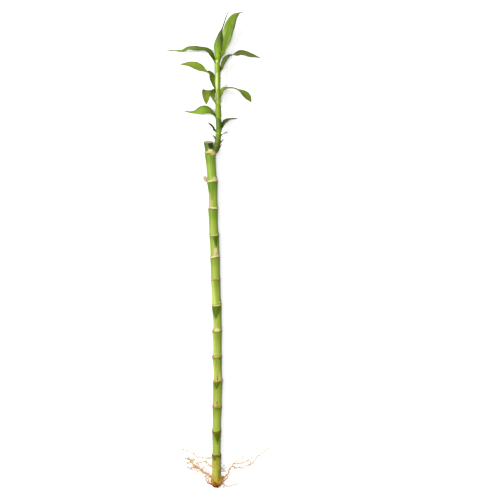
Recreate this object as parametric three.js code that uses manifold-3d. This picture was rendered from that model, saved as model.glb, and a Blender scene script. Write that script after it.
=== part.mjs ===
// One stalk of lucky bamboo (Dracaena) lying on a table, in millimetres.
// The cane lies along Y with its roots towards -Y and its leafy shoot towards +Y. Z is up, and the
// origin is on the table, under the middle of the plant's bounding box.
import * as THREE from 'three';
import Module from 'manifold-3d';
import { mergeVertices } from 'three/addons/utils/BufferGeometryUtils.js';

const wasm = await Module();
wasm.setup();

// ---------------------------------------------------------------------------------------------
// Driving dimensions
// ---------------------------------------------------------------------------------------------

const GAP = 0.3; // clear space between pieces that touch on the real plant

// The cane. A ring is the scar of a fallen leaf. Each row is one ring, from the roots up:
//   y      place along the cane           side   place across it
//   ring   radius over the ring           waist  narrowest radius of the stretch above the ring
//   lean   how far that waist bends aside
//   rise   how much higher the ring stands on its right than on its left
//   dip    how far its front hangs down in a shallow V
const CANE_RINGS = [
  { y: -257.3, side: -0.9, ring: 5.85, waist: 5.1, lean: 0.0, rise: 0.0, dip: 1.4 },
  { y: -226.3, side: -0.8, ring: 5.85, waist: 5.15, lean: 0.0, rise: 0.0, dip: 2.8 },
  { y: -195.4, side: -0.1, ring: 6.1, waist: 5.5, lean: 0.0, rise: -0.4, dip: 0.0 },
  { y: -163.5, side: 0.7, ring: 6.2, waist: 5.2, lean: 0.1, rise: 2.6, dip: 0.0 },
  { y: -132.9, side: -0.3, ring: 6.2, waist: 5.35, lean: 0.4, rise: 0.0, dip: 0.3 },
  { y: -100.4, side: -0.3, ring: 6.25, waist: 5.3, lean: 0.6, rise: 0.0, dip: 0.5 },
  { y: -68.5, side: -0.9, ring: 6.35, waist: 5.5, lean: 0.0, rise: 0.4, dip: 2.3 },
  { y: -37.9, side: -2.2, ring: 6.2, waist: 5.8, lean: 0.0, rise: 0.5, dip: 0.0 },
  { y: -8.5, side: -2.8, ring: 6.3, waist: 5.8, lean: 0.0, rise: 1.8, dip: 0.0 },
  { y: 19.0, side: -3.9, ring: 6.35, waist: 5.65, lean: -0.5, rise: 0.6, dip: 1.8 },
  { y: 51.5, side: -5.3, ring: 6.4, waist: 5.35, lean: 0.5, rise: -0.5, dip: 0.0 },
  { y: 87.1, side: -6.2, ring: 6.9, waist: 5.9, lean: -0.2, rise: 1.6, dip: 0.8 },
  { y: 122.1, side: -9.1, ring: 7.0, waist: 5.7, lean: -0.3, rise: 0.0, dip: 0.3 },
];
const CANE_FOOT = { y: -290, side: -0.9, radius: 5.5, chamfer: 0.5 };
const CANE_TOP = { y: 135.3, side: -11.2, radius: 6.1, slope: 0.26 }; // cut a little aslant
const CANE_SIDES = 20;
const RING_LIP = 0.8; // half the height of the raised lip of a ring
const RING_STEP = 0.7; // height over which the lip falls to the stem on either side
const UNDER_RING = 0.985; // radius just under a ring, as a share of the ring's
const LOWEST_WAIST = 0.7; // where the waist is, as a share of the way down from the upper ring
const STRETCH_STATIONS = [0.05, 0.25, 0.48, 0.7, 0.93]; // sections on the way down

// Raised scars of buds, and the callus beside the shoot. The angle goes round the cane from its
// right side (0) over its upper side (90) to its left side (180).
const SCARS = [
  { y: 123.4, angle: 92, length: 5, width: 5, lift: 0.6 },
  { y: 89.9, angle: 48, length: 4.5, width: 4, lift: 0.6 },
  { y: 60.5, angle: 155, length: 15, width: 3, lift: 0.3 },
  { y: 24.0, angle: -35, length: 8, width: 5, lift: 0.5 },
  { y: -3.0, angle: 80, length: 9, width: 6, lift: 0.6 },
  { y: -33.5, angle: 210, length: 8, width: 5, lift: 0.5 },
  { y: -64.0, angle: 10, length: 7, width: 5, lift: 0.5 },
  { y: -98.0, angle: 105, length: 5, width: 6, lift: 0.8 },
  { y: -128.5, angle: 205, length: 7, width: 5, lift: 0.5 },
  { y: -160.2, angle: 50, length: 6, width: 4, lift: 0.8 },
  { y: -193.0, angle: 117, length: 6, width: 5, lift: 0.6 },
  { y: -222.0, angle: -25, length: 6, width: 5, lift: 0.5 },
];
// A dry rag of leaf sheath that still stands off the cane's left side over one ring.
const RAG = { foot: [-9.8, 85.0, 6.6], tip: [-14.6, 91.6, 7.4], footRadius: 1.5, tipRadius: 2.5 };

// The shoot's stem: [x, y, z] along its middle, from the cane to its tip among the leaves.
const STEM_ROUTE = [
  [-2.4, 122.6, 12.2], [-0.9, 126.8, 13.3], [0.4, 133.0, 13.7], [1.5, 143.5, 13.5],
  [2.1, 151.5, 13.1], [1.5, 167.9, 12.4], [1.1, 184.1, 12.2], [0.3, 200.2, 12.5],
  [0.7, 216.4, 13.0], [1.2, 230.6, 13.5], [1.8, 240.5, 14.0], [2.3, 248.0, 14.5],
];
const STEM_FOOT_RADIUS = 2.6;
const STEM_RADIUS = 1.5;
const STEM_TIP_RADIUS = 1.1;
const STEM_FOOT_LENGTH = 4; // the foot narrows to the stem over this length
const COLLAR = { depth: 7, innerRadius: 3.3, radius: 3.0 }; // the cane's swelling under the foot

// Leaves. Each clasps the stem with a rolled sheath from `from` to `to`, measured along the stem,
// on the side that `round` gives in degrees (0 right, 90 up, 180 left), and then leaves it as a
// blade. Each row of the blade is one place on its midrib:
//   [x, y, z, width, wrap, roll]
// where wrap is the angle through which the blade curls across, and roll is its turn about the
// midrib: at 0 its upper face looks the way that `faces` gives, which is up where it isn't named.
const LEAF_THICKNESS = 0.62;
const MIDRIB_EXTRA = 0.35; // how much thicker a blade is along its midrib
const SHEATH_FOOT_RADIUS = 2.15; // to the middle of the sheath's wall
const SHEATH_MOUTH_RADIUS = 3.4;
const SHEATH_WRAP = 330;
const MOUTH_WRAP = 170;
const SHEATH_CLASP = 0.4; // how far a sheath reaches down into the one below it
const SHEATH_SPREAD = 2.4; // height over which a sheath widens over the mouth that it rises from
const LEAF_COLUMNS = 8;
const LEAF_STEP = 4.2; // distance between a leaf's sections
const LEAVES = [
  { name: 'leaf_01_scale', round: 10, from: 1.8, to: 6, footRadius: 3.3, mouthRadius: 3.5, step: 1.6,
    blade: [[4.2, 129.6, 14.8, 2.6, 90, 100], [5.1, 131.2, 15.2, 0.9, 20, 100]] },
  { name: 'leaf_02_scale', round: -20, to: 11, step: 1.9,
    blade: [[5.4, 135.6, 10.2, 2.6, 80, 70], [6.9, 137.2, 9.4, 0.8, 20, 70]] },
  { name: 'leaf_03_scale', round: 200, to: 16, step: 1.9,
    blade: [[-3.9, 141.2, 10.8, 3.2, 80, 300], [-6.0, 143.9, 10.0, 0.8, 20, 300]] },
  { name: 'leaf_04_scale', round: 20, to: 20.5, step: 2.0,
    blade: [[7.4, 144.6, 15.2, 2.2, 60, 100], [12.3, 146.4, 17.5, 0.8, 20, 100]] },
  { name: 'leaf_05_small_left', round: 170, from: 20.6, to: 25, step: 2.4,
    blade: [[-4.6, 150.2, 14.2, 5.0, 70, 310], [-6.8, 153.6, 15.7, 4.4, 50, 300],
      [-11.5, 158.0, 18.5, 0.8, 20, 300]] },
  { name: 'leaf_06_small_right', round: -5, from: 25, to: 30, step: 3.0,
    blade: [[6.6, 153.4, 10.4, 7.2, 70, 48], [8.4, 158.6, 9.4, 6.8, 60, 45],
      [11.8, 162.4, 7.6, 5.4, 45, 50], [17.5, 164.4, 5.0, 3.6, 40, 55],
      [25.1, 165.5, 0.6, 0.8, 20, 60]] },
  { name: 'leaf_07_broad_left', round: 185, to: 44,
    blade: [[-4.8, 169.4, 12.2, 6.4, 60, 305], [-7.5, 172.2, 11.8, 7.8, 50, 322],
      [-11.0, 173.8, 11.0, 10.4, 40, 333], [-14.8, 174.8, 10.0, 12.2, 35, 338],
      [-20.9, 174.6, 8.0, 10.6, 35, 340], [-26.6, 173.3, 5.8, 5.8, 35, 340],
      [-32.4, 172.6, 3.8, 2.2, 30, 335], [-36.8, 173.4, 2.0, 1.0, 20, 330],
      [-41.3, 174.3, 0.6, 0.8, 20, 330]] },
  { name: 'leaf_08_folded_left', round: 170, to: 62, faces: [-1, 0, 0], step: 2.6,
    blade: [[-4.9, 190.0, 13.2, 9.5, 110, 150], [-7.2, 195.0, 15.2, 9.5, 70, 125],
      [-9.6, 197.8, 19.5, 9.8, 45, 103], [-11.6, 196.2, 24.0, 10.2, 40, 93],
      [-13.0, 191.5, 26.6, 10.2, 40, 90], [-13.4, 186.5, 26.8, 6.8, 40, 90],
      [-13.2, 182.5, 25.8, 3.0, 40, 90], [-13.1, 180.0, 24.8, 0.9, 20, 90]] },
  { name: 'leaf_09_hanging_right', round: 20, to: 69.5,
    blade: [[6.9, 195.8, 15.9, 8.4, 70, 70], [9.4, 200.0, 18.4, 7.6, 55, 58],
      [14.8, 201.4, 23.0, 6.2, 40, 80], [21.1, 200.1, 27.0, 5.8, 30, 90],
      [27.3, 197.4, 28.7, 7.4, 30, 72], [32.9, 193.9, 27.7, 8.8, 30, 45],
      [37.2, 190.8, 25.5, 8.8, 30, 25], [40.3, 187.5, 22.0, 5.4, 30, 15],
      [42.4, 183.7, 18.0, 0.9, 20, 15]] },
  { name: 'leaf_10_twisted_left', round: 170, to: 81,
    blade: [[-6.0, 208.8, 14.4, 9.2, 70, 300], [-8.0, 215.0, 17.4, 9.2, 60, 312],
      [-11.2, 219.6, 21.4, 8.2, 45, 304], [-14.8, 222.3, 24.8, 6.6, 38, 270],
      [-19.0, 224.4, 27.6, 9.2, 35, 228], [-25.1, 226.8, 30.0, 9.4, 35, 215],
      [-31.8, 228.3, 31.0, 7.2, 35, 207], [-38.6, 228.9, 30.5, 4.0, 35, 205],
      [-45.2, 229.3, 29.0, 0.9, 20, 205]] },
  { name: 'leaf_11_twisted_right', round: 10, to: 105,
    blade: [[7.7, 231.2, 15.8, 8.4, 70, 66], [9.9, 236.9, 17.2, 7.8, 60, 48],
      [13.6, 240.4, 18.8, 6.6, 45, 66], [18.8, 242.2, 19.5, 6.0, 35, 94],
      [24.1, 243.8, 18.5, 7.2, 30, 120], [29.7, 245.5, 16.0, 7.9, 35, 135],
      [35.9, 244.9, 12.0, 7.4, 35, 140], [41.5, 243.6, 8.0, 6.0, 35, 140],
      [47.2, 242.7, 4.0, 3.5, 35, 130], [53.3, 241.3, 0.6, 0.9, 20, 130]] },
  { name: 'leaf_12_long_left', round: 175, to: 112.5,
    blade: [[-5.8, 240.6, 14.2, 9.0, 75, 306], [-9.5, 246.8, 16.0, 9.0, 60, 318],
      [-15.0, 249.5, 17.0, 9.2, 50, 315], [-22.5, 249.9, 17.0, 9.2, 45, 311],
      [-29.0, 251.1, 15.5, 9.6, 40, 314], [-35.7, 251.3, 12.5, 8.4, 40, 312],
      [-41.3, 250.2, 9.0, 5.5, 40, 300], [-46.7, 249.9, 6.0, 2.8, 40, 290],
      [-54.0, 250.4, 2.8, 1.2, 30, 290], [-66.2, 249.8, 0.6, 0.8, 20, 290]] },
  { name: 'leaf_13_broad_top', round: -50, to: 118.5,
    blade: [[5.9, 245.2, 10.2, 9.8, 90, 30], [8.0, 254.0, 10.4, 12.4, 65, 22],
      [10.8, 262.5, 12.2, 13.8, 50, 14], [13.5, 270.9, 14.4, 14.0, 45, 10],
      [15.9, 278.6, 16.9, 13.4, 45, 6], [18.8, 285.1, 19.0, 11.6, 45, 0],
      [22.3, 290.1, 20.5, 8.0, 45, -6], [26.0, 293.0, 21.5, 3.8, 50, -14],
      [28.4, 294.4, 22.0, 1.4, 40, -20], [33.1, 294.9, 22.0, 0.8, 20, -20]] },
  { name: 'leaf_14_furled_top', round: 125, to: 123.5, footRadius: 2.3,
    blade: [[-0.4, 248.2, 18.6, 12.0, 150, 208], [0.2, 257.0, 20.5, 13.5, 140, 203],
      [1.2, 264.8, 22.5, 10.0, 120, 200], [4.6, 272.4, 24.0, 3.6, 90, 195],
      [6.8, 278.5, 25.5, 1.4, 60, 190], [9.0, 283.9, 26.5, 0.9, 30, 190],
      [11.4, 289.4, 27.0, 0.8, 20, 190], [14.1, 294.6, 27.5, 0.8, 20, 190]] },
];

// Roots: [x, y, z, radius] along the middle. Those of one node are fused, with fine side hairs.
const ROOT_SIDES = 6;
const ROOT_STEP = 3.0;
const HAIR_SIDES = 5;
const HAIR_RADIUS = 0.38;
const ROOTS = [
  { name: 'root_01_left_long', hairs: 4, strands: [
    [[-7.1, -284.4, 4.6, 1.1], [-9.8, -282.6, 3.6, 1.1], [-12.5, -280.1, 2.4, 1.05],
      [-18.9, -277.4, 1.4, 1.0], [-22.9, -273.8, 1.0, 0.95], [-27.6, -271.8, 0.9, 0.85],
      [-31.3, -268.5, 0.8, 0.75]],
    [[-31.3, -268.5, 0.8, 0.75], [-34.0, -263.5, 1.6, 0.55], [-37.2, -258.6, 2.6, 0.45]],
    [[-27.6, -271.8, 0.9, 0.75], [-33.0, -273.3, 0.6, 0.5], [-38.5, -272.6, 0.5, 0.45]],
  ] },
  { name: 'root_02_left_upper', hairs: 4, hairSide: 1, strands: [
    [[-7.2, -259.8, 3.4, 0.6], [-12.5, -260.6, 1.6, 0.6], [-20.5, -260.1, 0.7, 0.6],
      [-26.9, -258.2, 0.6, 0.6], [-30.8, -255.0, 0.6, 0.55], [-33.3, -253.3, 0.6, 0.5],
      [-42.0, -250.2, 0.5, 0.45], [-46.8, -247.8, 0.5, 0.4]],
  ] },
  { name: 'root_03_left_loop', hairs: 3, hairSide: -1, strands: [
    [[-6.8, -271.4, 3.6, 0.6], [-10.5, -268.4, 2.0, 0.6], [-13.8, -266.4, 0.9, 0.6],
      [-18.0, -265.2, 0.7, 0.55], [-22.9, -266.1, 0.6, 0.5], [-25.4, -267.2, 0.6, 0.4]],
  ] },
  { name: 'root_04_right_long', hairs: 5, strands: [
    [[5.8, -284.9, 3.9, 1.2], [9.1, -283.9, 3.0, 1.15], [12.3, -280.9, 2.2, 1.05],
      [14.2, -276.3, 1.4, 0.95], [18.0, -271.4, 1.0, 0.9], [25.1, -272.5, 0.7, 0.6],
      [29.9, -273.4, 0.6, 0.55], [35.5, -271.4, 0.6, 0.55], [41.2, -268.1, 0.6, 0.55],
      [45.9, -265.4, 0.6, 0.5], [48.3, -261.4, 0.6, 0.5], [49.9, -258.2, 0.6, 0.5],
      [55.4, -255.0, 0.6, 0.5], [61.1, -250.2, 0.5, 0.45], [65.4, -246.2, 0.5, 0.4]],
    [[18.0, -271.4, 1.0, 0.8], [19.8, -267.9, 1.2, 0.6], [25.1, -267.4, 1.2, 0.5],
      [31.5, -266.6, 0.8, 0.45], [37.1, -264.2, 0.6, 0.4], [43.5, -260.2, 0.5, 0.4]],
    [[19.8, -267.9, 1.2, 0.6], [23.0, -264.4, 2.6, 0.45], [28.4, -262.6, 3.0, 0.4],
      [33.1, -257.3, 2.2, 0.4]],
  ] },
  { name: 'root_05_right_small', hairs: 2, strands: [
    [[4.9, -273.6, 4.4, 0.6], [7.4, -272.6, 3.0, 0.6], [10.2, -272.9, 1.8, 0.5],
      [12.0, -269.4, 1.0, 0.4]],
  ] },
  { name: 'root_06_foot_right', hairs: 3, strands: [
    [[7.4, -293.4, 0.9, 0.6], [12.3, -295.6, 0.7, 0.55], [17.1, -295.7, 0.6, 0.5],
      [19.5, -294.1, 0.6, 0.5], [25.1, -292.9, 0.5, 0.45], [29.1, -291.3, 0.5, 0.4]],
  ] },
];
// The crown: the knot of thick short roots that closes the cane's foot. They grow out of one
// callus and curl round the foot. Angles go round the cane from its right side over its top.
const CROWN = {
  callus: { y: -293.4, side: -0.9, z: 5.3, halfLength: 2.9, radius: 5.2 },
  strands: 12,
  firstAngle: -28,
  lastAngle: 208,
  innerReach: 2.8, // a strand starts this far from the cane's middle, inside the callus
  standOff: 7.0, // and then lies at least this far from it, clear of the cane
  spread: 1.3,
  radius: 1.1,
  shortest: 3.5,
  longest: 11,
  sides: 5,
  step: 3.6,
  leastTwist: 25, // degrees that a strand winds round the foot, one way or the other
  mostTwist: 75,
};
// Strands that climb the cane from the callus: [distance from its middle, angle, way along, radius].
const CROWN_CLIMBERS = [
  [[2.8, 50, 0, 1.0], [6.9, 50, 0.5, 1.0], [6.8, 57, 7, 0.85], [6.7, 48, 14, 0.75],
    [6.9, 42, 20, 0.65], [7.6, 32, 25, 0.5]],
  [[2.8, 150, 0, 1.0], [6.9, 150, 0.5, 1.0], [6.9, 158, 6, 0.85], [7.0, 150, 12, 0.7],
    [7.5, 160, 17, 0.5]],
];
const CROWN_STUBS = [
  [[-2.6, -294.0, 4.0, 1.3], [-4.2, -296.4, 2.6, 1.0], [-4.9, -297.6, 1.2, 0.7]],
  [[-0.6, -294.5, 4.6, 1.3], [-0.4, -297.0, 3.0, 1.0], [-1.0, -297.6, 1.2, 0.7]],
  [[1.8, -294.0, 5.0, 1.3], [3.8, -296.0, 3.6, 1.1], [5.6, -297.0, 1.8, 0.8]],
];
const CROWN_CURL = [
  [-3.4, -293.2, 4.4, 1.2], [-8.4, -293.4, 3.4, 1.1], [-12.4, -291.8, 2.0, 0.9],
  [-15.0, -287.6, 1.4, 0.8], [-14.6, -284.8, 1.6, 0.6],
];

// Finishes: colour, roughness and metalness.
const CANE_GREEN = [0x8fae45, 0.42, 0];
const STEM_GREEN = [0xb9cf6a, 0.5, 0];
const LEAF_GREEN = [0x6fa02c, 0.45, 0];
const PALE_LEAF = [0x9aa94c, 0.5, 0];
const DRY_SCALE = [0x7c8a4a, 0.7, 0];
const ROOT_ORANGE = [0xb4702c, 0.7, 0];
const ROOT_BROWN = [0x8a4e1c, 0.75, 0];

// ---------------------------------------------------------------------------------------------
// Helpers
// ---------------------------------------------------------------------------------------------

const radians = (degrees) => (degrees * Math.PI) / 180;
const mix = (a, b, share) => a + (b - a) * share;
const clamp01 = (value) => Math.min(1, Math.max(0, value));
const smoothstep = (value) => clamp01(value) ** 2 * (3 - 2 * clamp01(value));

// A repeatable draw between 0 and 1.
function makeRandom(seed) {
  let state = seed;
  return () => {
    state = (state * 16807) % 2147483647;
    return state / 2147483647;
  };
}

// A smooth run through rows of numbers, the first three being a point: a centripetal
// Catmull-Rom spline, which carries the other numbers along. It is read by distance.
class SmoothRun {
  constructor(rows, samplesPerSpan = 24) {
    this.samplesPerSpan = samplesPerSpan;
    const beyond = (end, inner) => end.map((value, k) => 2 * value - inner[k]);
    const padded = [beyond(rows[0], rows[1]), ...rows, beyond(rows.at(-1), rows.at(-2))];
    this.samples = [];
    for (let span = 0; span < rows.length - 1; span += 1) {
      const four = padded.slice(span, span + 4);
      const knots = [0, 1, 2].map((k) => Math.sqrt(SmoothRun.distance(four[k], four[k + 1])));
      for (let step = 0; step < samplesPerSpan; step += 1) {
        this.samples.push(SmoothRun.onSpan(four, knots, step / samplesPerSpan));
      }
    }
    this.samples.push([...rows.at(-1)]);
    this.reach = [0];
    for (let k = 1; k < this.samples.length; k += 1) {
      this.reach.push(this.reach[k - 1] + SmoothRun.distance(this.samples[k - 1], this.samples[k]));
    }
    this.length = this.reach.at(-1);
  }

  static distance(a, b) {
    return Math.hypot(a[0] - b[0], a[1] - b[1], a[2] - b[2]);
  }

  static onSpan([p0, p1, p2, p3], [d0, d1, d2], w) {
    return p1.map((start, k) => {
      const slopeIn = (p1[k] - p0[k]) / d0 - (p2[k] - p0[k]) / (d0 + d1) + (p2[k] - p1[k]) / d1;
      const slopeOut = (p2[k] - p1[k]) / d1 - (p3[k] - p1[k]) / (d1 + d2) + (p3[k] - p2[k]) / d2;
      const a = slopeIn * d1;
      const b = slopeOut * d1;
      const rise = p2[k] - start;
      return start + a * w + (3 * rise - 2 * a - b) * w * w + (a + b - 2 * rise) * w * w * w;
    });
  }

  // All the numbers at a distance from the start.
  at(distance) {
    const last = this.samples.length - 2;
    let low = 0;
    let high = last;
    while (low < high) {
      const middle = Math.ceil((low + high) / 2);
      if (this.reach[middle] <= distance) low = middle;
      else high = middle - 1;
    }
    const share = clamp01((distance - this.reach[low]) / (this.reach[low + 1] - this.reach[low]));
    return this.samples[low].map((value, k) => mix(value, this.samples[low + 1][k], share));
  }

  distanceOfRow(row) {
    return this.reach[row * this.samplesPerSpan];
  }

  point(distance) {
    return new THREE.Vector3(...this.at(distance).slice(0, 3));
  }

  // The direction of travel, from the points a little before and after.
  direction(distance, reach = 0.4) {
    const after = this.point(Math.min(this.length, distance + reach));
    return after.sub(this.point(Math.max(0, distance - reach))).normalize();
  }
}

// Across a direction of travel: `up` is the reference turned square to it, and `across` is
// square to both.
function crossFrame(travel, reference) {
  const up = reference.clone().addScaledVector(travel, -reference.dot(travel)).normalize();
  return { up, across: travel.clone().cross(up) };
}

// A closed skin from rings of points, each ring closed on itself, with a cap at either end.
function skinFromRings(rings) {
  const count = rings[0].length;
  const points = rings.flat();
  const triangles = [];
  for (let row = 0; row < rings.length - 1; row += 1) {
    for (let k = 0; k < count; k += 1) {
      const a = row * count + k;
      const b = row * count + ((k + 1) % count);
      triangles.push([a, a + count, b], [b, a + count, b + count]);
    }
  }
  for (const [row, forward] of [[0, false], [rings.length - 1, true]]) {
    const centre = points.length;
    const middle = rings[row].reduce((sum, point) => sum.add(point), new THREE.Vector3());
    points.push(middle.divideScalar(count));
    for (let k = 0; k < count; k += 1) {
      const a = row * count + k;
      const b = row * count + ((k + 1) % count);
      triangles.push(forward ? [b, a, centre] : [a, b, centre]);
    }
  }
  return toGeometry(points, triangles);
}

function toGeometry(points, triangles) {
  const geometry = new THREE.BufferGeometry();
  const flat = points.flatMap((point) => [point.x, point.y, point.z]);
  geometry.setAttribute('position', new THREE.Float32BufferAttribute(flat, 3));
  geometry.setIndex(triangles.flat());
  return geometry;
}

// Joins closed skins into one body.
function fuse(geometries) {
  const solids = geometries.map((geometry) => {
    const bare = geometry.clone();
    bare.deleteAttribute('normal');
    bare.deleteAttribute('uv');
    const merged = mergeVertices(bare, 1e-5);
    return new wasm.Manifold(new wasm.Mesh({
      numProp: 3,
      vertProperties: new Float32Array(merged.attributes.position.array),
      triVerts: new Uint32Array(merged.index.array),
    }));
  });
  const mesh = solids.reduce((whole, solid) => whole.add(solid)).getMesh();
  const geometry = new THREE.BufferGeometry();
  geometry.setAttribute('position', new THREE.BufferAttribute(mesh.vertProperties, 3));
  geometry.setIndex(new THREE.BufferAttribute(mesh.triVerts, 1));
  return geometry;
}

// A round strand along rows of [x, y, z, radius]; nothing of it goes below the table.
function strand(rows, sides, step) {
  const run = new SmoothRun(rows);
  const stations = Math.max(3, Math.round(run.length / step) + 1);
  const rings = [];
  for (let row = 0; row < stations; row += 1) {
    const distance = (run.length * row) / (stations - 1);
    const [, , , radius] = run.at(distance);
    const { up, across } = crossFrame(run.direction(distance), steadyReference(rows));
    rings.push(Array.from({ length: sides }, (_, k) => {
      const turn = (2 * Math.PI * (k + 0.5)) / sides;
      const point = run.point(distance)
        .addScaledVector(across, radius * Math.cos(turn))
        .addScaledVector(up, radius * Math.sin(turn));
      point.z = Math.max(point.z, 0);
      return point;
    }));
  }
  return skinFromRings(rings);
}

// A reference for a strand's sections: up, unless the strand itself stands up.
function steadyReference(rows) {
  const first = new THREE.Vector3(...rows[0].slice(0, 3));
  const travel = new THREE.Vector3(...rows.at(-1).slice(0, 3)).sub(first).normalize();
  return Math.abs(travel.z) < 0.8 ? new THREE.Vector3(0, 0, 1) : new THREE.Vector3(1, 0, 0);
}

// ---------------------------------------------------------------------------------------------
// The cane
// ---------------------------------------------------------------------------------------------

// The height of the cane's middle over the table, so that a ring rests on one of its flat sides.
const restHeight = (radius) => radius * Math.cos(Math.PI / CANE_SIDES);

// How far a stretch has narrowed from the ring over it (0) to its waist (1), at a share of the
// way down: a quarter wave to the waist, then a slight flare.
function narrowing(share) {
  const inwards = Math.sin((Math.PI / 2) * Math.min(1, share / LOWEST_WAIST)) ** 1.4;
  return inwards * (1 - 0.3 * smoothstep((share - 0.8) / 0.2));
}

function caneSections() {
  const foot = { ...CANE_FOOT, rise: 0, dip: 0, sway: 0 };
  const flat = { ...CANE_FOOT, ring: CANE_FOOT.radius, waist: 5.45, lean: 0, rise: 0, dip: 0 };
  const footHeight = restHeight(CANE_FOOT.radius);
  const sections = [
    { ...foot, radius: foot.radius - foot.chamfer, height: footHeight },
    { ...foot, y: foot.y + foot.chamfer, height: footHeight },
  ];
  let lower = flat;
  for (const upper of CANE_RINGS) {
    const length = upper.y - lower.y;
    for (const down of [...STRETCH_STATIONS].reverse()) {
      const share = 1 - down;
      const nearer = share > 0.5 ? upper : lower;
      const fade = Math.abs(2 * share - 1) ** 1.5; // a ring's slant dies out between rings
      sections.push({
        y: mix(lower.y, upper.y, share),
        side: mix(lower.side, upper.side, share) + lower.lean * narrowing(down),
        height: mix(restHeight(lower.ring), restHeight(upper.ring), share),
        radius: mix(upper.ring * UNDER_RING, lower.waist, narrowing(down)),
        rise: nearer.rise * fade,
        dip: nearer.dip * fade,
      });
    }
    for (const [above, radius] of [[-RING_LIP, upper.ring], [RING_LIP, upper.ring]]) {
      sections.push({ ...upper, y: upper.y + above, radius, height: restHeight(upper.ring) });
    }
    lower = { ...upper, length };
  }
  const stub = CANE_TOP.y - lower.y;
  for (const share of [RING_LIP / stub + RING_STEP / stub, 0.5, 1]) {
    sections.push({
      y: mix(lower.y, CANE_TOP.y, share),
      side: mix(lower.side, CANE_TOP.side, share),
      height: restHeight(lower.ring),
      radius: mix(lower.waist, CANE_TOP.radius, share),
      rise: lower.rise * (1 - share),
      dip: lower.dip * (1 - share),
      slope: CANE_TOP.slope * share,
    });
  }
  return sections;
}

// How far a scar lifts the cane's surface at an angle and a height: a bell over its middle.
function scarLift(angle, y, radius) {
  return SCARS.reduce((lift, scar) => {
    const round = Math.abs(((angle - scar.angle + 540) % 360) - 180);
    const across = (radians(round) * radius) / (scar.width / 2);
    const along = (y - scar.y) / (scar.length / 2);
    return lift + scar.lift * Math.exp(-(across ** 2 + along ** 2));
  }, 0);
}

function caneSkin() {
  const rings = caneSections().map((section) => Array.from({ length: CANE_SIDES }, (_, k) => {
    const angle = -90 + (360 * (k + 0.5)) / CANE_SIDES;
    const [right, top] = [Math.cos(radians(angle)), Math.sin(radians(angle))];
    const radius = section.radius + scarLift(angle, section.y, section.radius);
    const hang = section.dip * Math.max(0, top) ** 3;
    const slant = (section.rise / 2) * right - hang - (section.slope ?? 0) * section.radius * top;
    return new THREE.Vector3(
      section.side + radius * right,
      section.y + slant,
      section.height + radius * top,
    );
  }));
  return skinFromRings(rings);
}

// The direction in which the shoot leaves the cane.
const stemRun = new SmoothRun(STEM_ROUTE);
const stemStart = stemRun.point(0);
const stemSetOff = stemRun.direction(0);

function collar() {
  const foot = stemStart.clone().addScaledVector(stemSetOff, -COLLAR.depth);
  const end = stemStart.clone().addScaledVector(stemSetOff, -GAP);
  return strand([[...foot, COLLAR.innerRadius], [...end, COLLAR.radius]], 10, COLLAR.depth / 2);
}

function rag() {
  const middle = RAG.foot.map((value, k) => mix(value, RAG.tip[k], 0.5));
  const rows = [
    [...RAG.foot, RAG.footRadius],
    [...middle, mix(RAG.footRadius, RAG.tipRadius, 0.5)],
    [...RAG.tip, RAG.tipRadius],
  ];
  return strand(rows, 7, 4);
}

const makeCane = () => fuse([caneSkin(), collar(), rag()]);

// ---------------------------------------------------------------------------------------------
// The shoot's stem and its leaves
// ---------------------------------------------------------------------------------------------

function makeStem() {
  const rows = STEM_ROUTE.map((point) => {
    const distance = SmoothRun.distance(point, STEM_ROUTE[0]);
    const swelling = (STEM_FOOT_RADIUS - STEM_RADIUS) * (1 - smoothstep(distance / STEM_FOOT_LENGTH));
    const thinning = (STEM_RADIUS - STEM_TIP_RADIUS) * smoothstep(distance / stemRun.length);
    return [...point, STEM_RADIUS + swelling - thinning];
  });
  return strand(rows, 8, 5.2);
}

// The rows of a leaf's sheath, up the stem from its foot to its mouth, in the form of a blade's,
// with the direction of the stem at each.
function sheathRows(leaf) {
  const length = leaf.to - leaf.from;
  const footRadius = leaf.footRadius ?? SHEATH_FOOT_RADIUS;
  const mouthRadius = leaf.mouthRadius ?? SHEATH_MOUTH_RADIUS;
  const stations = [
    [0, footRadius, SHEATH_WRAP],
    [SHEATH_CLASP + 0.2, footRadius, SHEATH_WRAP],
    [Math.min(length / 2, SHEATH_SPREAD), mix(footRadius, mouthRadius, 0.55), SHEATH_WRAP],
    [length * 0.6, mix(footRadius, mouthRadius, 0.85), SHEATH_WRAP],
    [length - SHEATH_CLASP - 0.2, mouthRadius, mix(SHEATH_WRAP, MOUTH_WRAP, 0.6)],
    [length, mouthRadius, MOUTH_WRAP],
  ];
  const up = new THREE.Vector3(0, 0, 1);
  const faces = new THREE.Vector3(...(leaf.faces ?? [0, 0, 1]));
  const [cos, sin] = [Math.cos(radians(leaf.round)), Math.sin(radians(leaf.round))];
  return stations.map(([above, radius, wrap]) => {
    const travel = stemRun.direction(leaf.from + above);
    const stem = crossFrame(travel, up);
    const outwards = stem.across.clone().multiplyScalar(cos).addScaledVector(stem.up, sin);
    const frame = crossFrame(travel, faces);
    const turn = Math.atan2(outwards.dot(frame.across), -outwards.dot(frame.up));
    const place = stemRun.point(leaf.from + above).addScaledVector(outwards, radius);
    const roll = nearestTurn((turn * 180) / Math.PI, leaf.blade[0][5]);
    return { travel, row: [...place, radius * radians(wrap), wrap, roll] };
  });
}

// The same angle, counted on or back by whole turns until it is nearest to another.
const nearestTurn = (angle, other) => angle + 360 * Math.round((other - angle) / 360);

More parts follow.
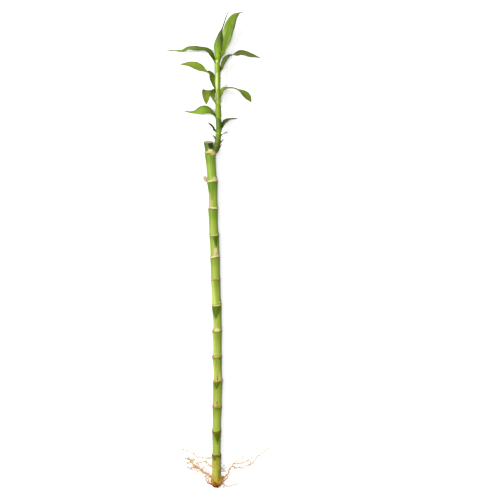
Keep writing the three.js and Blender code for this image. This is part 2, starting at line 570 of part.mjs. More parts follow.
// A leaf from its sheath to its tip. Each section is an arc square to the midrib, `width` long,
// that curls through `wrap` degrees; its two faces lie half the thickness off it on either side.
function makeLeaf(leaf) {
  const sheath = sheathRows(leaf);
  const run = new SmoothRun([...sheath.map(({ row }) => row), ...leaf.blade]);
  const faces = new THREE.Vector3(...(leaf.faces ?? [0, 0, 1]));
  const distances = sheath.map((_, row) => run.distanceOfRow(row));
  const mouth = distances.at(-1);
  const sections = Math.round((run.length - mouth) / (leaf.step ?? LEAF_STEP));
  for (let k = 1; k <= sections; k += 1) distances.push(mix(mouth, run.length, k / sections));
  const rings = [];
  for (const [section, distance] of distances.entries()) {
    const travel = sheath[section]?.travel ?? run.direction(distance);
    const [, , , width, wrapDegrees, roll] = run.at(distance);
    const wrap = radians(Math.max(wrapDegrees, 5));
    const bend = Math.max(width, 0.8) / wrap; // radius of the arc
    const frame = crossFrame(travel, faces);
    const [cos, sin] = [Math.cos(radians(roll)), Math.sin(radians(roll))];
    const wide = frame.across.clone().multiplyScalar(cos).addScaledVector(frame.up, sin);
    const under = frame.across.clone().multiplyScalar(sin).addScaledVector(frame.up, -cos);
    const faceRows = [[], []];
    for (let column = 0; column <= LEAF_COLUMNS; column += 1) {
      const share = (2 * column) / LEAF_COLUMNS - 1;
      const turn = (share * wrap) / 2;
      const rib = MIDRIB_EXTRA * (1 - Math.abs(share)) ** 2 * (1 - wrapDegrees / SHEATH_WRAP);
      const half = (LEAF_THICKNESS + rib) / 2;
      const normal = under.clone().multiplyScalar(Math.cos(turn)).addScaledVector(wide, Math.sin(turn));
      const point = run.point(distance)
        .addScaledVector(wide, bend * Math.sin(turn))
        .addScaledVector(under, -bend * (1 - Math.cos(turn)));
      for (const [face, sense] of [[0, 1], [1, -1]]) {
        const skin = point.clone().addScaledVector(normal, sense * half);
        skin.z = Math.max(skin.z, 0);
        faceRows[face].push(skin);
      }
    }
    rings.push([...faceRows[0], ...faceRows[1].reverse()]);
  }
  return leafSkin(rings);
}

// Closes a leaf's two faces, its edges and its ends. Both faces split their squares alike.
function leafSkin(rings) {
  const count = rings[0].length;
  const across = LEAF_COLUMNS;
  const triangles = [];
  for (let row = 0; row < rings.length - 1; row += 1) {
    for (let k = 0; k < count; k += 1) {
      const a = row * count + k;
      const b = row * count + ((k + 1) % count);
      const upperFace = k > across;
      if (upperFace) triangles.push([a, b + count, b], [a, a + count, b + count]);
      else triangles.push([a, a + count, b], [b, a + count, b + count]);
    }
  }
  const last = (rings.length - 1) * count;
  for (let k = 0; k < across; k += 1) {
    const [a, b] = [k, k + 1];
    const [c, d] = [count - 1 - k, count - 2 - k];
    triangles.push([a, b, c], [b, d, c]);
    triangles.push([last + a, last + c, last + b], [last + b, last + c, last + d]);
  }
  return toGeometry(rings.flat(), triangles);
}

// ---------------------------------------------------------------------------------------------
// The roots
// ---------------------------------------------------------------------------------------------

// Fine hairs off a root's main strand: each starts in the strand's middle, leaves it sideways
// and droops to the table. Their places and lengths are drawn from the seed.
function hairs(rows, count, random, side) {
  const run = new SmoothRun(rows);
  return Array.from({ length: count }, (_, k) => {
    const distance = run.length * (0.25 + (0.7 * (k + 0.6 * random())) / count);
    const travel = run.direction(distance);
    const { across } = crossFrame(travel, new THREE.Vector3(0, 0, 1));
    const sense = side ?? (k % 2 ? 1 : -1);
    const length = 4 + 5 * random();
    const forward = 0.3 + 0.9 * random();
    const start = run.point(distance);
    const aim = across.multiplyScalar(sense).addScaledVector(travel, forward).normalize();
    const [, , , startRadius] = run.at(distance);
    const middle = start.clone().addScaledVector(aim, length * 0.5);
    const end = start.clone().addScaledVector(aim, length);
    end.addScaledVector(travel, length * 0.35 * (random() - 0.3));
    middle.z = Math.max(HAIR_RADIUS, start.z + 0.3);
    end.z = Math.max(HAIR_RADIUS, start.z - 0.8);
    const thick = Math.min(startRadius * 0.8, HAIR_RADIUS);
    return strand([[...start, thick], [...middle, HAIR_RADIUS], [...end, HAIR_RADIUS]], HAIR_SIDES, 2.6);
  });
}

function makeRoot(root, seed) {
  const random = makeRandom(seed);
  const strands = root.strands.map((rows) => strand(rows, ROOT_SIDES, ROOT_STEP));
  return fuse([...strands, ...hairs(root.strands[0], root.hairs, random, root.hairSide)]);
}

// The callus is a lathe-turned knob along the cane, flat where it faces the cane's foot.
function callus() {
  const { y, side, z, halfLength, radius } = CROWN.callus;
  const profile = [[0, -1], [0.5, -0.92], [0.85, -0.55], [1, 0], [0.96, 0.7], [0.8, 1], [0, 1]];
  const points = profile.map(([out, along]) => new THREE.Vector2(out * radius, along * halfLength));
  const knob = new THREE.LatheGeometry(points, 12);
  knob.translate(side, y, z);
  return knob;
}

// A row of a crown strand, from its place round the cane.
function crownRow(distance, angle, along, radius) {
  const { y, side, z } = CROWN.callus;
  const height = z + distance * Math.sin(radians(angle));
  return [side + distance * Math.cos(radians(angle)), y + along, Math.max(radius, height), radius];
}

function makeCrown() {
  const random = makeRandom(77);
  const pieces = [callus(), strand(CROWN_CURL, CROWN.sides, CROWN.step)];
  for (const rows of CROWN_STUBS) pieces.push(strand(rows, CROWN.sides, 2));
  for (const rows of CROWN_CLIMBERS) {
    pieces.push(strand(rows.map((row) => crownRow(...row)), CROWN.sides, CROWN.step));
  }
  for (let k = 0; k < CROWN.strands; k += 1) {
    const angle = mix(CROWN.firstAngle, CROWN.lastAngle, k / (CROWN.strands - 1));
    const twist = (k % 2 ? -1 : 1) * mix(CROWN.leastTwist, CROWN.mostTwist, random());
    const endAngle = Math.min(CROWN.lastAngle, Math.max(CROWN.firstAngle, angle + twist));
    const topness = Math.max(0, Math.sin(radians(angle))) ** 2;
    const reach = mix(CROWN.shortest, CROWN.longest, random() * topness);
    const away = CROWN.spread * random();
    const rows = [crownRow(CROWN.innerReach, angle, 0, CROWN.radius)];
    for (const share of [0, 0.33, 0.66, 1]) {
      const along = 0.3 + reach * share;
      const distance = CROWN.standOff + away * share;
      rows.push(crownRow(distance, mix(angle, endAngle, share), along, CROWN.radius * (1 - 0.4 * share)));
    }
    pieces.push(strand(rows, CROWN.sides, CROWN.step));
  }
  return fuse(pieces);
}

// ---------------------------------------------------------------------------------------------
// The plant
// ---------------------------------------------------------------------------------------------

function addPiece(group, name, geometry, [color, roughness, metalness]) {
  geometry.computeVertexNormals();
  const mesh = new THREE.Mesh(geometry, new THREE.MeshStandardMaterial({ color, roughness, metalness }));
  mesh.name = name;
  group.add(mesh);
}

function leafFinish(name) {
  if (name.includes('scale')) return DRY_SCALE;
  return name.includes('twisted') ? PALE_LEAF : LEAF_GREEN;
}

const plant = new THREE.Group();
addPiece(plant, 'cane', makeCane(), CANE_GREEN);
addPiece(plant, 'shoot_stem', makeStem(), STEM_GREEN);
let mouthBelow = 0;
for (const leaf of LEAVES) {
  const clasped = { from: mouthBelow - SHEATH_CLASP, ...leaf };
  addPiece(plant, leaf.name, makeLeaf(clasped), leafFinish(leaf.name));
  mouthBelow = leaf.to;
}
addPiece(plant, 'root_crown', makeCrown(), ROOT_BROWN);
ROOTS.forEach((root, k) => addPiece(plant, root.name, makeRoot(root, 101 + 17 * k), ROOT_ORANGE));

export default plant;
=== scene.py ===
# %% [markdown]
# # A stalk of lucky bamboo on a pale table
# Lucky bamboo is a Dracaena: a green cane ringed with the scars of fallen leaves, cut off at its
# top, with one leafy shoot from a bud at the top ring and a tuft of orange roots at its foot.
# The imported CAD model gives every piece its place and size. Each piece is made again here as a
# fine skin, worked out with numpy, and given its veins, scars, hairs and colours.

import bpy
import numpy as np
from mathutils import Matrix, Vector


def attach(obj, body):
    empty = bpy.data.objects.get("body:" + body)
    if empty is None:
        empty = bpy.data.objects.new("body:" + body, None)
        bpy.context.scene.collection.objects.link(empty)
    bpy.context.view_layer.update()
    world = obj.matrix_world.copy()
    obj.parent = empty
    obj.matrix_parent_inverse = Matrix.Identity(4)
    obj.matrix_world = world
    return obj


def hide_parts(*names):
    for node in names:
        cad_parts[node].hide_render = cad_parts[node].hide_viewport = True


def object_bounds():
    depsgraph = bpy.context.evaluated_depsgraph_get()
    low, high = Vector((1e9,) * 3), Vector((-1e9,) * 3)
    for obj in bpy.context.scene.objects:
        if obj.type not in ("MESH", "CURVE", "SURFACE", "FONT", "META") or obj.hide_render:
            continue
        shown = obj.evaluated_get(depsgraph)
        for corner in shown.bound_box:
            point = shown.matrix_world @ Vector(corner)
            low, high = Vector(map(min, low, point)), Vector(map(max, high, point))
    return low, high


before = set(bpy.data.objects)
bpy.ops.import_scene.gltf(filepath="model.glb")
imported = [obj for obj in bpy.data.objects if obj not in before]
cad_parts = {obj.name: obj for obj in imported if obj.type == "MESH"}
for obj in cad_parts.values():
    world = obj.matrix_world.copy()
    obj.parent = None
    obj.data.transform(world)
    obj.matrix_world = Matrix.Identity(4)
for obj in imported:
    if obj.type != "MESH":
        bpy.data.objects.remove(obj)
cad_low, cad_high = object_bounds()
print("CAD box, mm:", [round(1000 * v, 1) for v in (*cad_low, *cad_high)])

# %% [markdown]
# ## Putting a skin into Blender
# Every piece below is an array of points in millimetres and an array of faces. One function turns
# them into a mesh object, so that all pieces ride on the part's body and the CAD solids that they
# stand for are hidden. The volume that it prints is positive only if the faces point outwards.

# %% One maker for all pieces
MM = 0.001
print("a millimetre in Blender's metres:", MM)


def enclosed_volume(points, faces):
    """Sum over all triangles of (a x b) . c / 6: the volume inside a closed skin, in mm3."""
    total = 0.0
    for block in faces:
        for corner in range(1, block.shape[1] - 1):
            a, b, c = points[block[:, 0]], points[block[:, corner]], points[block[:, corner + 1]]
            total += np.einsum("ij,ij->", np.cross(a, b), c) / 6
    return total


def add_piece(name, points, faces, material, stands_for, fields):
    """A mesh object from [n, 3] points in mm and blocks of faces. `fields` are numbers that the
    mesh carries, one per point."""
    mesh = bpy.data.meshes.new(name)
    mesh.vertices.add(len(points))
    mesh.vertices.foreach_set("co", (points * MM).astype(np.float32).ravel())
    corners = np.concatenate([block.ravel() for block in faces]).astype(np.int32)
    sizes = np.concatenate([np.full(len(block), block.shape[1]) for block in faces])
    mesh.loops.add(len(corners))
    mesh.loops.foreach_set("vertex_index", corners)
    mesh.polygons.add(len(sizes))
    mesh.polygons.foreach_set("loop_start", (np.cumsum(sizes) - sizes).astype(np.int32))
    mesh.update(calc_edges=True)
    mesh.validate()
    mesh.shade_smooth()
    for field, values in fields.items():
        layer = mesh.attributes.new(field, "FLOAT", "POINT")
        layer.data.foreach_set("value", np.asarray(values, np.float32).ravel())
    mesh.materials.append(material)
    piece = bpy.data.objects.new(name, mesh)
    bpy.context.scene.collection.objects.link(piece)
    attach(piece, "root")
    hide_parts(*stands_for)
    triangles = int(np.sum(sizes - 2))
    print(f"{name}: {triangles} triangles, {enclosed_volume(points, faces):.0f} mm3")


# %% [markdown]
# ## Smooth runs
# A midrib, a stem and a root are all a smooth line through a few points, so one spline serves
# them. It is cubic, its knots spaced by the root of the distance, so that it passes through its
# points and never loops between close ones. Any further numbers in a row, such as a width, are
# carried along with the point.

# %% A spline read by distance
SPAN_SAMPLES = 24


def smoothstep(value):
    """3 v^2 - 2 v^3, with v held between 0 and 1."""
    held = np.clip(value, 0, 1)
    return held**2 * (3 - 2 * held)


def mix(a, b, share):
    """a at share 0, b at share 1, straight between."""
    return a + (b - a) * share


def smooth_run(rows):
    """Cubic spans whose slopes follow from knots spaced by the root of the distance. Returns
    (samples, reach): the numbers at each sample, and its distance along the line."""
    rows = np.asarray(rows, float)
    padded = np.vstack([2 * rows[0] - rows[1], rows, 2 * rows[-1] - rows[-2]])
    knot = np.sqrt(np.linalg.norm(np.diff(padded[:, :3], axis=0), axis=1))[:, None]
    d0, d1, d2 = knot[:-2], knot[1:-1], knot[2:]
    p0, p1, p2, p3 = padded[:-3], padded[1:-2], padded[2:-1], padded[3:]
    a = ((p1 - p0) / d0 - (p2 - p0) / (d0 + d1) + (p2 - p1) / d1) * d1
    b = ((p2 - p1) / d1 - (p3 - p1) / (d1 + d2) + (p3 - p2) / d2) * d1
    rise = p2 - p1
    w = np.linspace(0, 1, SPAN_SAMPLES, endpoint=False)[None, :, None]
    a, b, rise, start = a[:, None], b[:, None], rise[:, None], p1[:, None]
    spans = start + a * w + (3 * rise - 2 * a - b) * w**2 + (a + b - 2 * rise) * w**3
    samples = np.vstack([spans.reshape(-1, rows.shape[1]), rows[-1]])
    steps = np.linalg.norm(np.diff(samples[:, :3], axis=0), axis=1)
    return samples, np.concatenate([[0], np.cumsum(steps)])


def read_run(run, distance):
    """The carried numbers at each distance, straight between samples."""
    samples, reach = run
    return np.stack([np.interp(distance, reach, column) for column in samples.T], axis=-1)


def unit(vectors):
    """Vectors divided by their length."""
    return vectors / np.maximum(np.linalg.norm(vectors, axis=-1, keepdims=True), 1e-9)


def run_direction(run, distance, reach=0.4):
    """From the point a little before to the point a little after."""
    last = run[1][-1]
    after = read_run(run, np.minimum(last, distance + reach))[..., :3]
    return unit(after - read_run(run, np.maximum(0, distance - reach))[..., :3])


def cross_frame(travel, reference):
    """up is the reference turned square to travel, and across = travel x up."""
    reference = np.asarray(reference, float)
    up = unit(reference - travel * np.sum(travel * reference, axis=-1, keepdims=True))
    return up, np.cross(travel, up)


sample_run = smooth_run([[0, 0, 0], [10, 10, 0], [20, 0, 0]])
print("a hill 20 mm long and 10 mm high is", sample_run[1][-1].round(1), "mm to walk")

# %% [markdown]
# ## Round tubes
# Stems, roots and hairs are circles carried along a path. Hundreds of hairs share one call: their
# paths stand side by side in one array, and the faces of the first tube are counted on for the
# rest. A point at either end closes each tube.

# %% Tubes along paths
def tube_faces(runs, stations, sides):
    """Quads between neighbouring rings and a fan of triangles over each end, for `runs` tubes."""
    ring = np.arange(sides)
    after = (ring + 1) % sides
    row = np.arange(stations - 1)[:, None] * sides
    quads = np.stack([row + ring, row + sides + ring, row + sides + after, row + after], axis=-1)
    last, caps = (stations - 1) * sides, stations * sides
    first_fan = np.stack([ring, after, np.full(sides, caps)], axis=-1)
    last_fan = np.stack([last + after, last + ring, np.full(sides, caps + 1)], axis=-1)
    offset = (np.arange(runs) * (caps + 2))[:, None, None]
    fans = np.concatenate([first_fan, last_fan])
    return [(quads.reshape(-1, 4) + offset).reshape(-1, 4), (fans + offset).reshape(-1, 3)]


def tubes(paths, radii, sides, reference=(0, 0, 1)):
    """path + radius (across cos + up sin) for [runs, stations, 3] paths, none of it below the
    table. Returns points and faces."""
    travel = unit(np.gradient(paths, axis=1))
    up, across = cross_frame(travel, reference)
    turn = 2 * np.pi * (np.arange(sides) + 0.5) / sides
    ring = across[:, :, None] * np.cos(turn)[:, None] + up[:, :, None] * np.sin(turn)[:, None]
    skin = paths[:, :, None] + radii[:, :, None, None] * ring
    points = np.concatenate([skin.reshape(len(paths), -1, 3), paths[:, [0, -1]]], axis=1)
    points[..., 2] = np.maximum(points[..., 2], 0)
    return points.reshape(-1, 3), tube_faces(len(paths), paths.shape[1], sides)


def spread_over_tubes(values, sides):
    """Repeats a number per station for every point of its ring, and for the two end points."""
    rings = np.repeat(values, sides, axis=1)
    return np.concatenate([rings, values[:, [0, -1]]], axis=1).ravel()


def join(parts):
    """Several (points, faces) as one, each part's faces counted on from the parts before it."""
    counts = np.cumsum([0] + [len(points) for points, _ in parts])
    faces = [block + start for (_, blocks), start in zip(parts, counts) for block in blocks]
    return np.concatenate([points for points, _ in parts]), faces


def close_grid(grid):
    """A [rows, columns, 3] grid whose columns go round: the middle of its first row and of its
    last are added, and close its ends. Returns points and faces."""
    ends = np.stack([grid[0].mean(axis=0), grid[-1].mean(axis=0)])
    return np.concatenate([grid.reshape(-1, 3), ends]), tube_faces(1, *grid.shape[:2])


print("faces of one tube, 5 rings of 8 points:", [len(block) for block in tube_faces(1, 5, 8)])

# %% [markdown]
# ## Writing shaders as sums
# A node tree is easier to read as an expression. A wire wraps one output socket and turns
# arithmetic into Math nodes, so that `1 - mask * 0.5` is two nodes and one line.

# %% Wires
class Wire:
    """One output socket. Arithmetic on it adds a Math node and gives that node's wire."""

    def __init__(self, board, socket):
        self.board, self.socket = board, socket

    def maths(self, operation, first, second=0.0, clamp=False):
        settings = {"operation": operation, "use_clamp": clamp}
        return self.board.node("ShaderNodeMath", settings, {0: first, 1: second})

    def __add__(self, other):
        return self.maths("ADD", self, other)

    def __mul__(self, other):
        return self.maths("MULTIPLY", self, other)

    def __sub__(self, other):
        return self.maths("SUBTRACT", self, other)

    def __rsub__(self, other):
        return self.maths("SUBTRACT", other, self)

    def __pow__(self, other):
        return self.maths("POWER", self, other)

    def __abs__(self):
        return self.maths("ABSOLUTE", self)

    __radd__, __rmul__ = __add__, __mul__

    def wave(self):
        return self.maths("SINE", self)

    def held(self):
        return self.maths("ADD", self, 0.0, clamp=True)

# %% [markdown]
# A board holds one material. Its `node` method makes any node from its type, its settings and
# what goes into its sockets. The short methods under it name the few that come back all the time.
# The studio is lit so strongly that the table burns out to pure white, and `paint` darkens every
# colour by as much.

# %% Boards and paint
MIX_FIRST, MIX_SECOND, MIX_COLOUR = 6, 7, 2  # a Mix node's colour sockets: two in and one out


class Board:
    """A new material and its node tree."""

    def __init__(self, name):
        self.material = bpy.data.materials.new(name)
        self.material.use_nodes = True
        self.tree = self.material.node_tree
        self.tree.nodes.clear()

    def node(self, kind, settings=None, sockets=None, out=0):
        """A node of one kind: its settings first, then a value or a wire for each socket."""
        made = self.tree.nodes.new(kind)
        for setting, value in (settings or {}).items():
            if setting == "stops":
                self.set_stops(made.color_ramp, value)
            else:
                setattr(made, setting, value)
        for socket, value in (sockets or {}).items():
            if isinstance(value, Wire):
                self.tree.links.new(value.socket, made.inputs[socket])
            else:
                made.inputs[socket].default_value = value
        return Wire(self, made.outputs[out]) if made.outputs else made

    @staticmethod
    def set_stops(ramp, stops):
        while len(ramp.elements) < len(stops):
            ramp.elements.new(1.0)
        for element, (position, colour) in zip(ramp.elements, stops):
            element.position, element.color = position, colour

    def place(self):
        """Where on the piece a point is, in metres."""
        return self.node("ShaderNodeTexCoord", out="Object")

    def field(self, name):
        """A number that the mesh carries."""
        return self.node("ShaderNodeAttribute", {"attribute_name": name}, out="Fac")

    def stretched(self, scale):
        """Object coordinates, multiplied along each axis."""
        sockets = {0: self.place(), 1: scale}
        return self.node("ShaderNodeVectorMath", {"operation": "MULTIPLY"}, sockets)

    def grain(self, scale, detail=4.0, stretch=(1, 1, 1), rough=0.55):
        """Noise between 0 and 1 whose lumps are about 1 / scale metres wide."""
        sockets = {"Vector": self.stretched(stretch), "Scale": scale, "Detail": detail,
                   "Roughness": rough}
        return self.node("ShaderNodeTexNoise", sockets=sockets)

    def edge(self, value, low, high):
        """0 below low and 1 above high, eased between."""
        settings = {"interpolation_type": "SMOOTHSTEP"}
        return self.node("ShaderNodeMapRange", settings, {0: value, 1: low, 2: high})

    def blend(self, share, first, second):
        """The first colour at share 0 and the second at 1."""
        settings = {"data_type": "RGBA", "clamp_factor": True}
        sockets = {0: share, MIX_FIRST: first, MIX_SECOND: second}
        return self.node("ShaderNodeMix", settings, sockets, out=MIX_COLOUR)

    def finish(self, colour, roughness, height, depth, coat=0.0, specular=0.5):
        """A Principled surface whose bumps are `depth` metres high where `height` is 1."""
        bump = self.node("ShaderNodeBump", sockets={"Height": height, "Distance": depth})
        shader = self.node("ShaderNodeBsdfPrincipled", sockets={
            "Base Color": colour, "Roughness": roughness, "Normal": bump,
            "Coat Weight": coat, "Coat Roughness": 0.3, "Specular IOR Level": specular})
        self.node("ShaderNodeOutputMaterial", sockets={"Surface": shader})
        print(f"{self.material.name}: {len(self.tree.nodes)} nodes")
        return self.material


LIGHT_LEVEL = 2.15


def paint(red, green, blue):
    """A colour as it should look, in 0-255 screen values, under this studio's strong light: its
    linear value by the sRGB formula, divided by the light on a surface that faces up."""
    screen = np.array([red, green, blue]) / 255
    linear = np.where(screen <= 0.04045, screen / 12.92, ((screen + 0.055) / 1.055) ** 2.4)
    return (*(linear / LIGHT_LEVEL).tolist(), 1.0)


print("leaf green as painted:", [round(part, 3) for part in paint(110, 148, 24)])

# %% [markdown]
# ## The cane
# The cane is one body of revolution that has gone a little wrong everywhere: its radius swells
# under each ring and narrows above it, the rings slant and sag, and buds push out from under
# them. A grid of angle and height takes all of that as sums on the radius and the height. The
# table has one row per ring, as in the CAD source: place along, place across, radius at the ring,
# narrowest radius above it, sideways bend, slant and sag.

# %% The cane's rings
CANE_FOOT = [-290.0, -0.9, 5.5, 5.45, 0.0, 0.0, 0.0]
CANE_TOP = [135.3, -11.2, 6.1, 6.1, 0.0, 0.0, 0.0]
TOP_SLOPE = 0.32
CANE_RINGS = [
    [-256.3, -0.9, 5.85, 5.1, 0.0, 0.0, 0.8],
    [-225.2, -0.8, 5.85, 5.15, 0.0, 0.0, 2.2],
    [-195.0, -0.1, 6.1, 5.5, 0.0, -0.4, 0.0],
    [-163.0, 0.7, 6.2, 5.2, 0.1, 2.4, 0.0],
    [-132.7, -0.3, 6.2, 5.35, 0.4, 0.0, 0.3],
    [-100.4, -0.3, 6.25, 5.3, 0.6, 0.5, 0.4],
    [-67.9, -0.9, 6.35, 5.5, 0.0, 1.2, 1.0],
    [-36.0, -2.2, 6.2, 5.8, 0.0, 1.0, 0.0],
    [-8.0, -2.8, 6.3, 5.8, 0.0, 2.0, 0.0],
    [20.2, -3.9, 6.35, 5.65, -0.5, 1.4, 1.5],
    [52.9, -5.3, 6.4, 5.35, 0.5, -0.3, 0.0],
    [87.1, -6.2, 6.9, 5.9, -0.2, 1.6, 0.8],
    [122.1, -9.1, 7.0, 5.7, -0.3, 0.0, 0.3],
]
# How pale each ring's scar is (1 cream, 0 brown) and how thick its line is, in mm.
RING_TONES = [0.08, 0.12, 0.4, 0.6, 0.55, 0.55, 0.8, 0.6, 0.95, 0.75, 0.95, 0.95, 0.82]
RING_LINES = [2.2, 1.8, 2.4, 1.8, 2.4, 1.2, 1.4, 1.2, 2.0, 1.6, 2.2, 2.0, 1.4]
ring_rows = np.array(CANE_RINGS)
cane_stops = np.array([CANE_FOOT, *CANE_RINGS, CANE_TOP])
print("internodes, mm:", np.diff(ring_rows[:, 0]).round(1))

# %% [markdown]
# Raised spots come from a second table: [height, angle, length, width, lift] of each bud scar,
# and the callus that swells where the shoot breaks out. The angle goes from the cane's right side
# (0) over its upper side (90) to its left side (180). A bell over the middle lifts the radius.

# %% Bud scars and callus
SCARS = [
    [123.4, 110, 5, 5, 0.5],
    [121.6, 40, 6.5, 7.5, 2.3],
    [124.0, 64, 6.5, 6.0, 2.0],
    [119.0, 52, 5, 5, 0.9],
    [89.9, 60, 4.5, 5, 0.8],
    [60.5, 130, 15, 3, 0.35],
    [24.0, -35, 8, 5, 0.5],
    [-4.5, 86, 8, 6, 0.7],
    [-33.5, 210, 8, 5, 0.5],
    [-64.0, 20, 6, 4, 0.6],
    [-98.8, 88, 4, 8, 0.8],
    [-128.5, 205, 7, 5, 0.5],
    [-159.0, 56, 7, 4.5, 0.9],
    [-193.4, 112, 4.5, 5, 0.8],
    [-222.0, -25, 6, 5, 0.5],
]
CANE_RADIUS = 6.2  # a typical one, by which angles are turned into mm
print("raised spots:", len(SCARS), "up to", max(scar[4] for scar in SCARS), "mm high")


def arc_from(angle, middle):
    """Distance round the cane from one angle to another, in mm, the short way."""
    return np.radians((angle - middle + 540) % 360 - 180) * CANE_RADIUS


def scar_lift(angle, height):
    """Sum of bells exp(-(across^2 + along^2)^1.3), each on its own half width and length."""
    lift = np.zeros(np.broadcast(angle, height).shape)
    for middle_height, middle, length, width, raised in SCARS:
        across = arc_from(angle, middle) / (width / 2)
        along = (height - middle_height) / (length / 2)
        lift += raised * np.exp(-((across**2 + along**2) ** 1.3))
    return lift


# %% [markdown]
# The marks that the colour follows are wedges and ovals drawn on the unrolled cane. A wedge is
# the dark green flame that hangs under a ring, or the pale triangle over a bud. Marks of the kind
# `light` are painted light on the cane's left side, and the `deep` mark and the dark one beside it
# are painted shade on the right of the cut-off top. Each mark is [kind, top, bottom, angle, half
# width at top, half width at bottom], and where both widths are given as one number it is an oval.
# The mesh carries how deep inside a mark each point lies, and the shader then frays the edge with
# noise.

# %% Marks on the unrolled cane
MARKS = [
    # On the cut-off top the dark row at 52 degrees and the deep row are painted shade on its
    # right, and the light row is painted light on its upper left.
    ["dark", 136.5, 123.8, 134, 9.0, 2.5],
    ["dark", 136.5, 125.4, 52, 8.0, 5.0],
    ["deep", 136.5, 128.0, 64, 4.5, 3.0],
    ["light", 129.5, 121.8, 104, 2.5, 6.0],
    ["pink", 124.2, 118.4, 50, 4.3],
    ["cream", 126.8, 121.2, 72, 3.4],
    ["brown", 119.9, 117.4, 30, 1.6],
    ["cream", 92.0, 86.6, 50, 3.0],
    ["shade", 85.6, 62.0, 112, 8.5, 2.0],
    ["blush", 72.0, 53.0, 132, 0.1, 2.6],
    ["dark", 18.4, 3.5, 68, 5.0, 0.2],
    ["cork", 2.6, -6.8, 74, 1.5, 3.2],
    ["cream", 3.0, -3.4, 72, 1.6],
    ["cream", -35.2, -37.2, 142, 1.6],
    # The light rows are painted light down the cane's left side.
    ["light", -37.5, -67.0, 140, 2.5, 4.5],
    ["light", -87.0, -98.0, 150, 2.0, 3.5],
    ["light", -102.5, -131.5, 150, 2.8, 3.6],
    ["light", -137.0, -161.0, 150, 2.5, 3.6],
    ["cream", -63.8, -65.9, 38, 1.1],
    ["dark", -69.4, -86.2, 106, 10.5, 0.2],
    ["cream", -97.2, -101.4, 87, 4.6],
    ["brown", -131.6, -134.2, 160, 2.0],
    ["brown", -131.8, -136.4, 62, 0.8],
    ["dark", -133.6, -147.5, 20, 3.4, 0.8],
    ["brown", -156.5, -163.0, 92, 0.05, 0.1],
    ["gold", -155.5, -162.4, 112, 0.2, 1.1],
    ["blush", -150.6, -163.0, 48, 0.6, 3.4],
    ["cream", -158.5, -163.0, 44, 1.6],
    ["brown", -163.6, -165.4, 70, 1.2],
    ["dark", -164.8, -173.6, 104, 6.0, 0.4],
    ["brown", -164.0, -192.0, 158, 0.02, 0.1],
    ["pink", -190.2, -196.2, 117, 2.3],
    ["brown", -188.9, -191.6, 92, 0.9],
    ["brown", -192.4, -196.4, 160, 1.8],
    ["gold", -192.6, -196.0, 34, 3.2],
    ["brown", -193.6, -196.0, 22, 1.4],
    ["shade", -196.6, -200.5, 80, 6.0, 3.0],
    ["brown", -223.4, -226.8, 14, 1.5],
    ["brown", -223.4, -226.8, 166, 1.5],
    ["shade", -226.0, -243.5, 76, 9.5, 0.6],
    ["dark", -226.2, -239.5, 74, 7.0, 0.3],
    ["dark", -257.4, -262.0, 114, 2.4],
    ["gold", -261.0, -273.0, 58, 0.1, 0.9],
    ["gold", -258.5, -267.0, 158, 1.2],
    ["gold", -262.0, -268.5, 100, 0.9],
    ["shade", -274.0, -288.0, 46, 1.0, 4.0],
]
MARK_KINDS = sorted({mark[0] for mark in MARKS})
MARK_EDGE = 0.25  # how deep a point on a mark's drawn edge counts
END_DEPTH = 2.2  # from a wedge's ends the depth grows by 1 over this many mm


def mark_depth(mark, angle, height):
    """1 in a mark's middle, 0 outside: the least of the depths from its sides and its ends."""
    _, top, bottom, middle, *widths = mark
    up = (height - bottom) / (top - bottom)
    if len(widths) == 1:
        across = arc_from(angle, middle) / widths[0]
        return np.clip(1 + MARK_EDGE - np.hypot(across, 2 * up - 1), 0, 1)
    half_width = np.maximum(mix(widths[1], widths[0], np.clip(up, 0, 1)), 0.05) + 0.4
    sides = 1 - np.abs(arc_from(angle, middle)) / half_width
    ends = np.minimum(height - bottom, top - height) / END_DEPTH
    return np.clip(np.minimum(sides, ends) + MARK_EDGE, 0, 1)


print("marks by kind:", {kind: sum(m[0] == kind for m in MARKS) for kind in MARK_KINDS})

# %% [markdown]
# The rows of the grid stand close together at the rings, where the skin has its lip and fine
# folds, and further apart between them. At the top the grid turns inwards over the cut.

# %% The cane's profile
NARROWEST = 0.7  # how far down an internode its waist lies, as a share of it
SHOULDER = 0.985  # the radius just under a ring, as a share of the ring's own
FOOT_FLARE, FLARE_FROM, FLARE_SPAN = 0.3, 0.8, 0.2
NEAR_RING = 3.0


def cane_heights():
    """Every 0.2 mm within 3 mm of a ring, and every 1.2 mm elsewhere."""
    near = (ring_rows[:, 0, None] + np.linspace(-NEAR_RING, NEAR_RING, 31)).ravel()
    far = np.arange(CANE_FOOT[0] + 1, CANE_TOP[0] - 0.3, 1.2)
    clear = np.abs(far[:, None] - ring_rows[:, 0]).min(axis=1) > NEAR_RING + 0.4
    ends = [CANE_FOOT[0], CANE_FOOT[0] + 0.5, CANE_TOP[0] - 0.25]
    return np.sort(np.concatenate([near, far[clear], ends]))


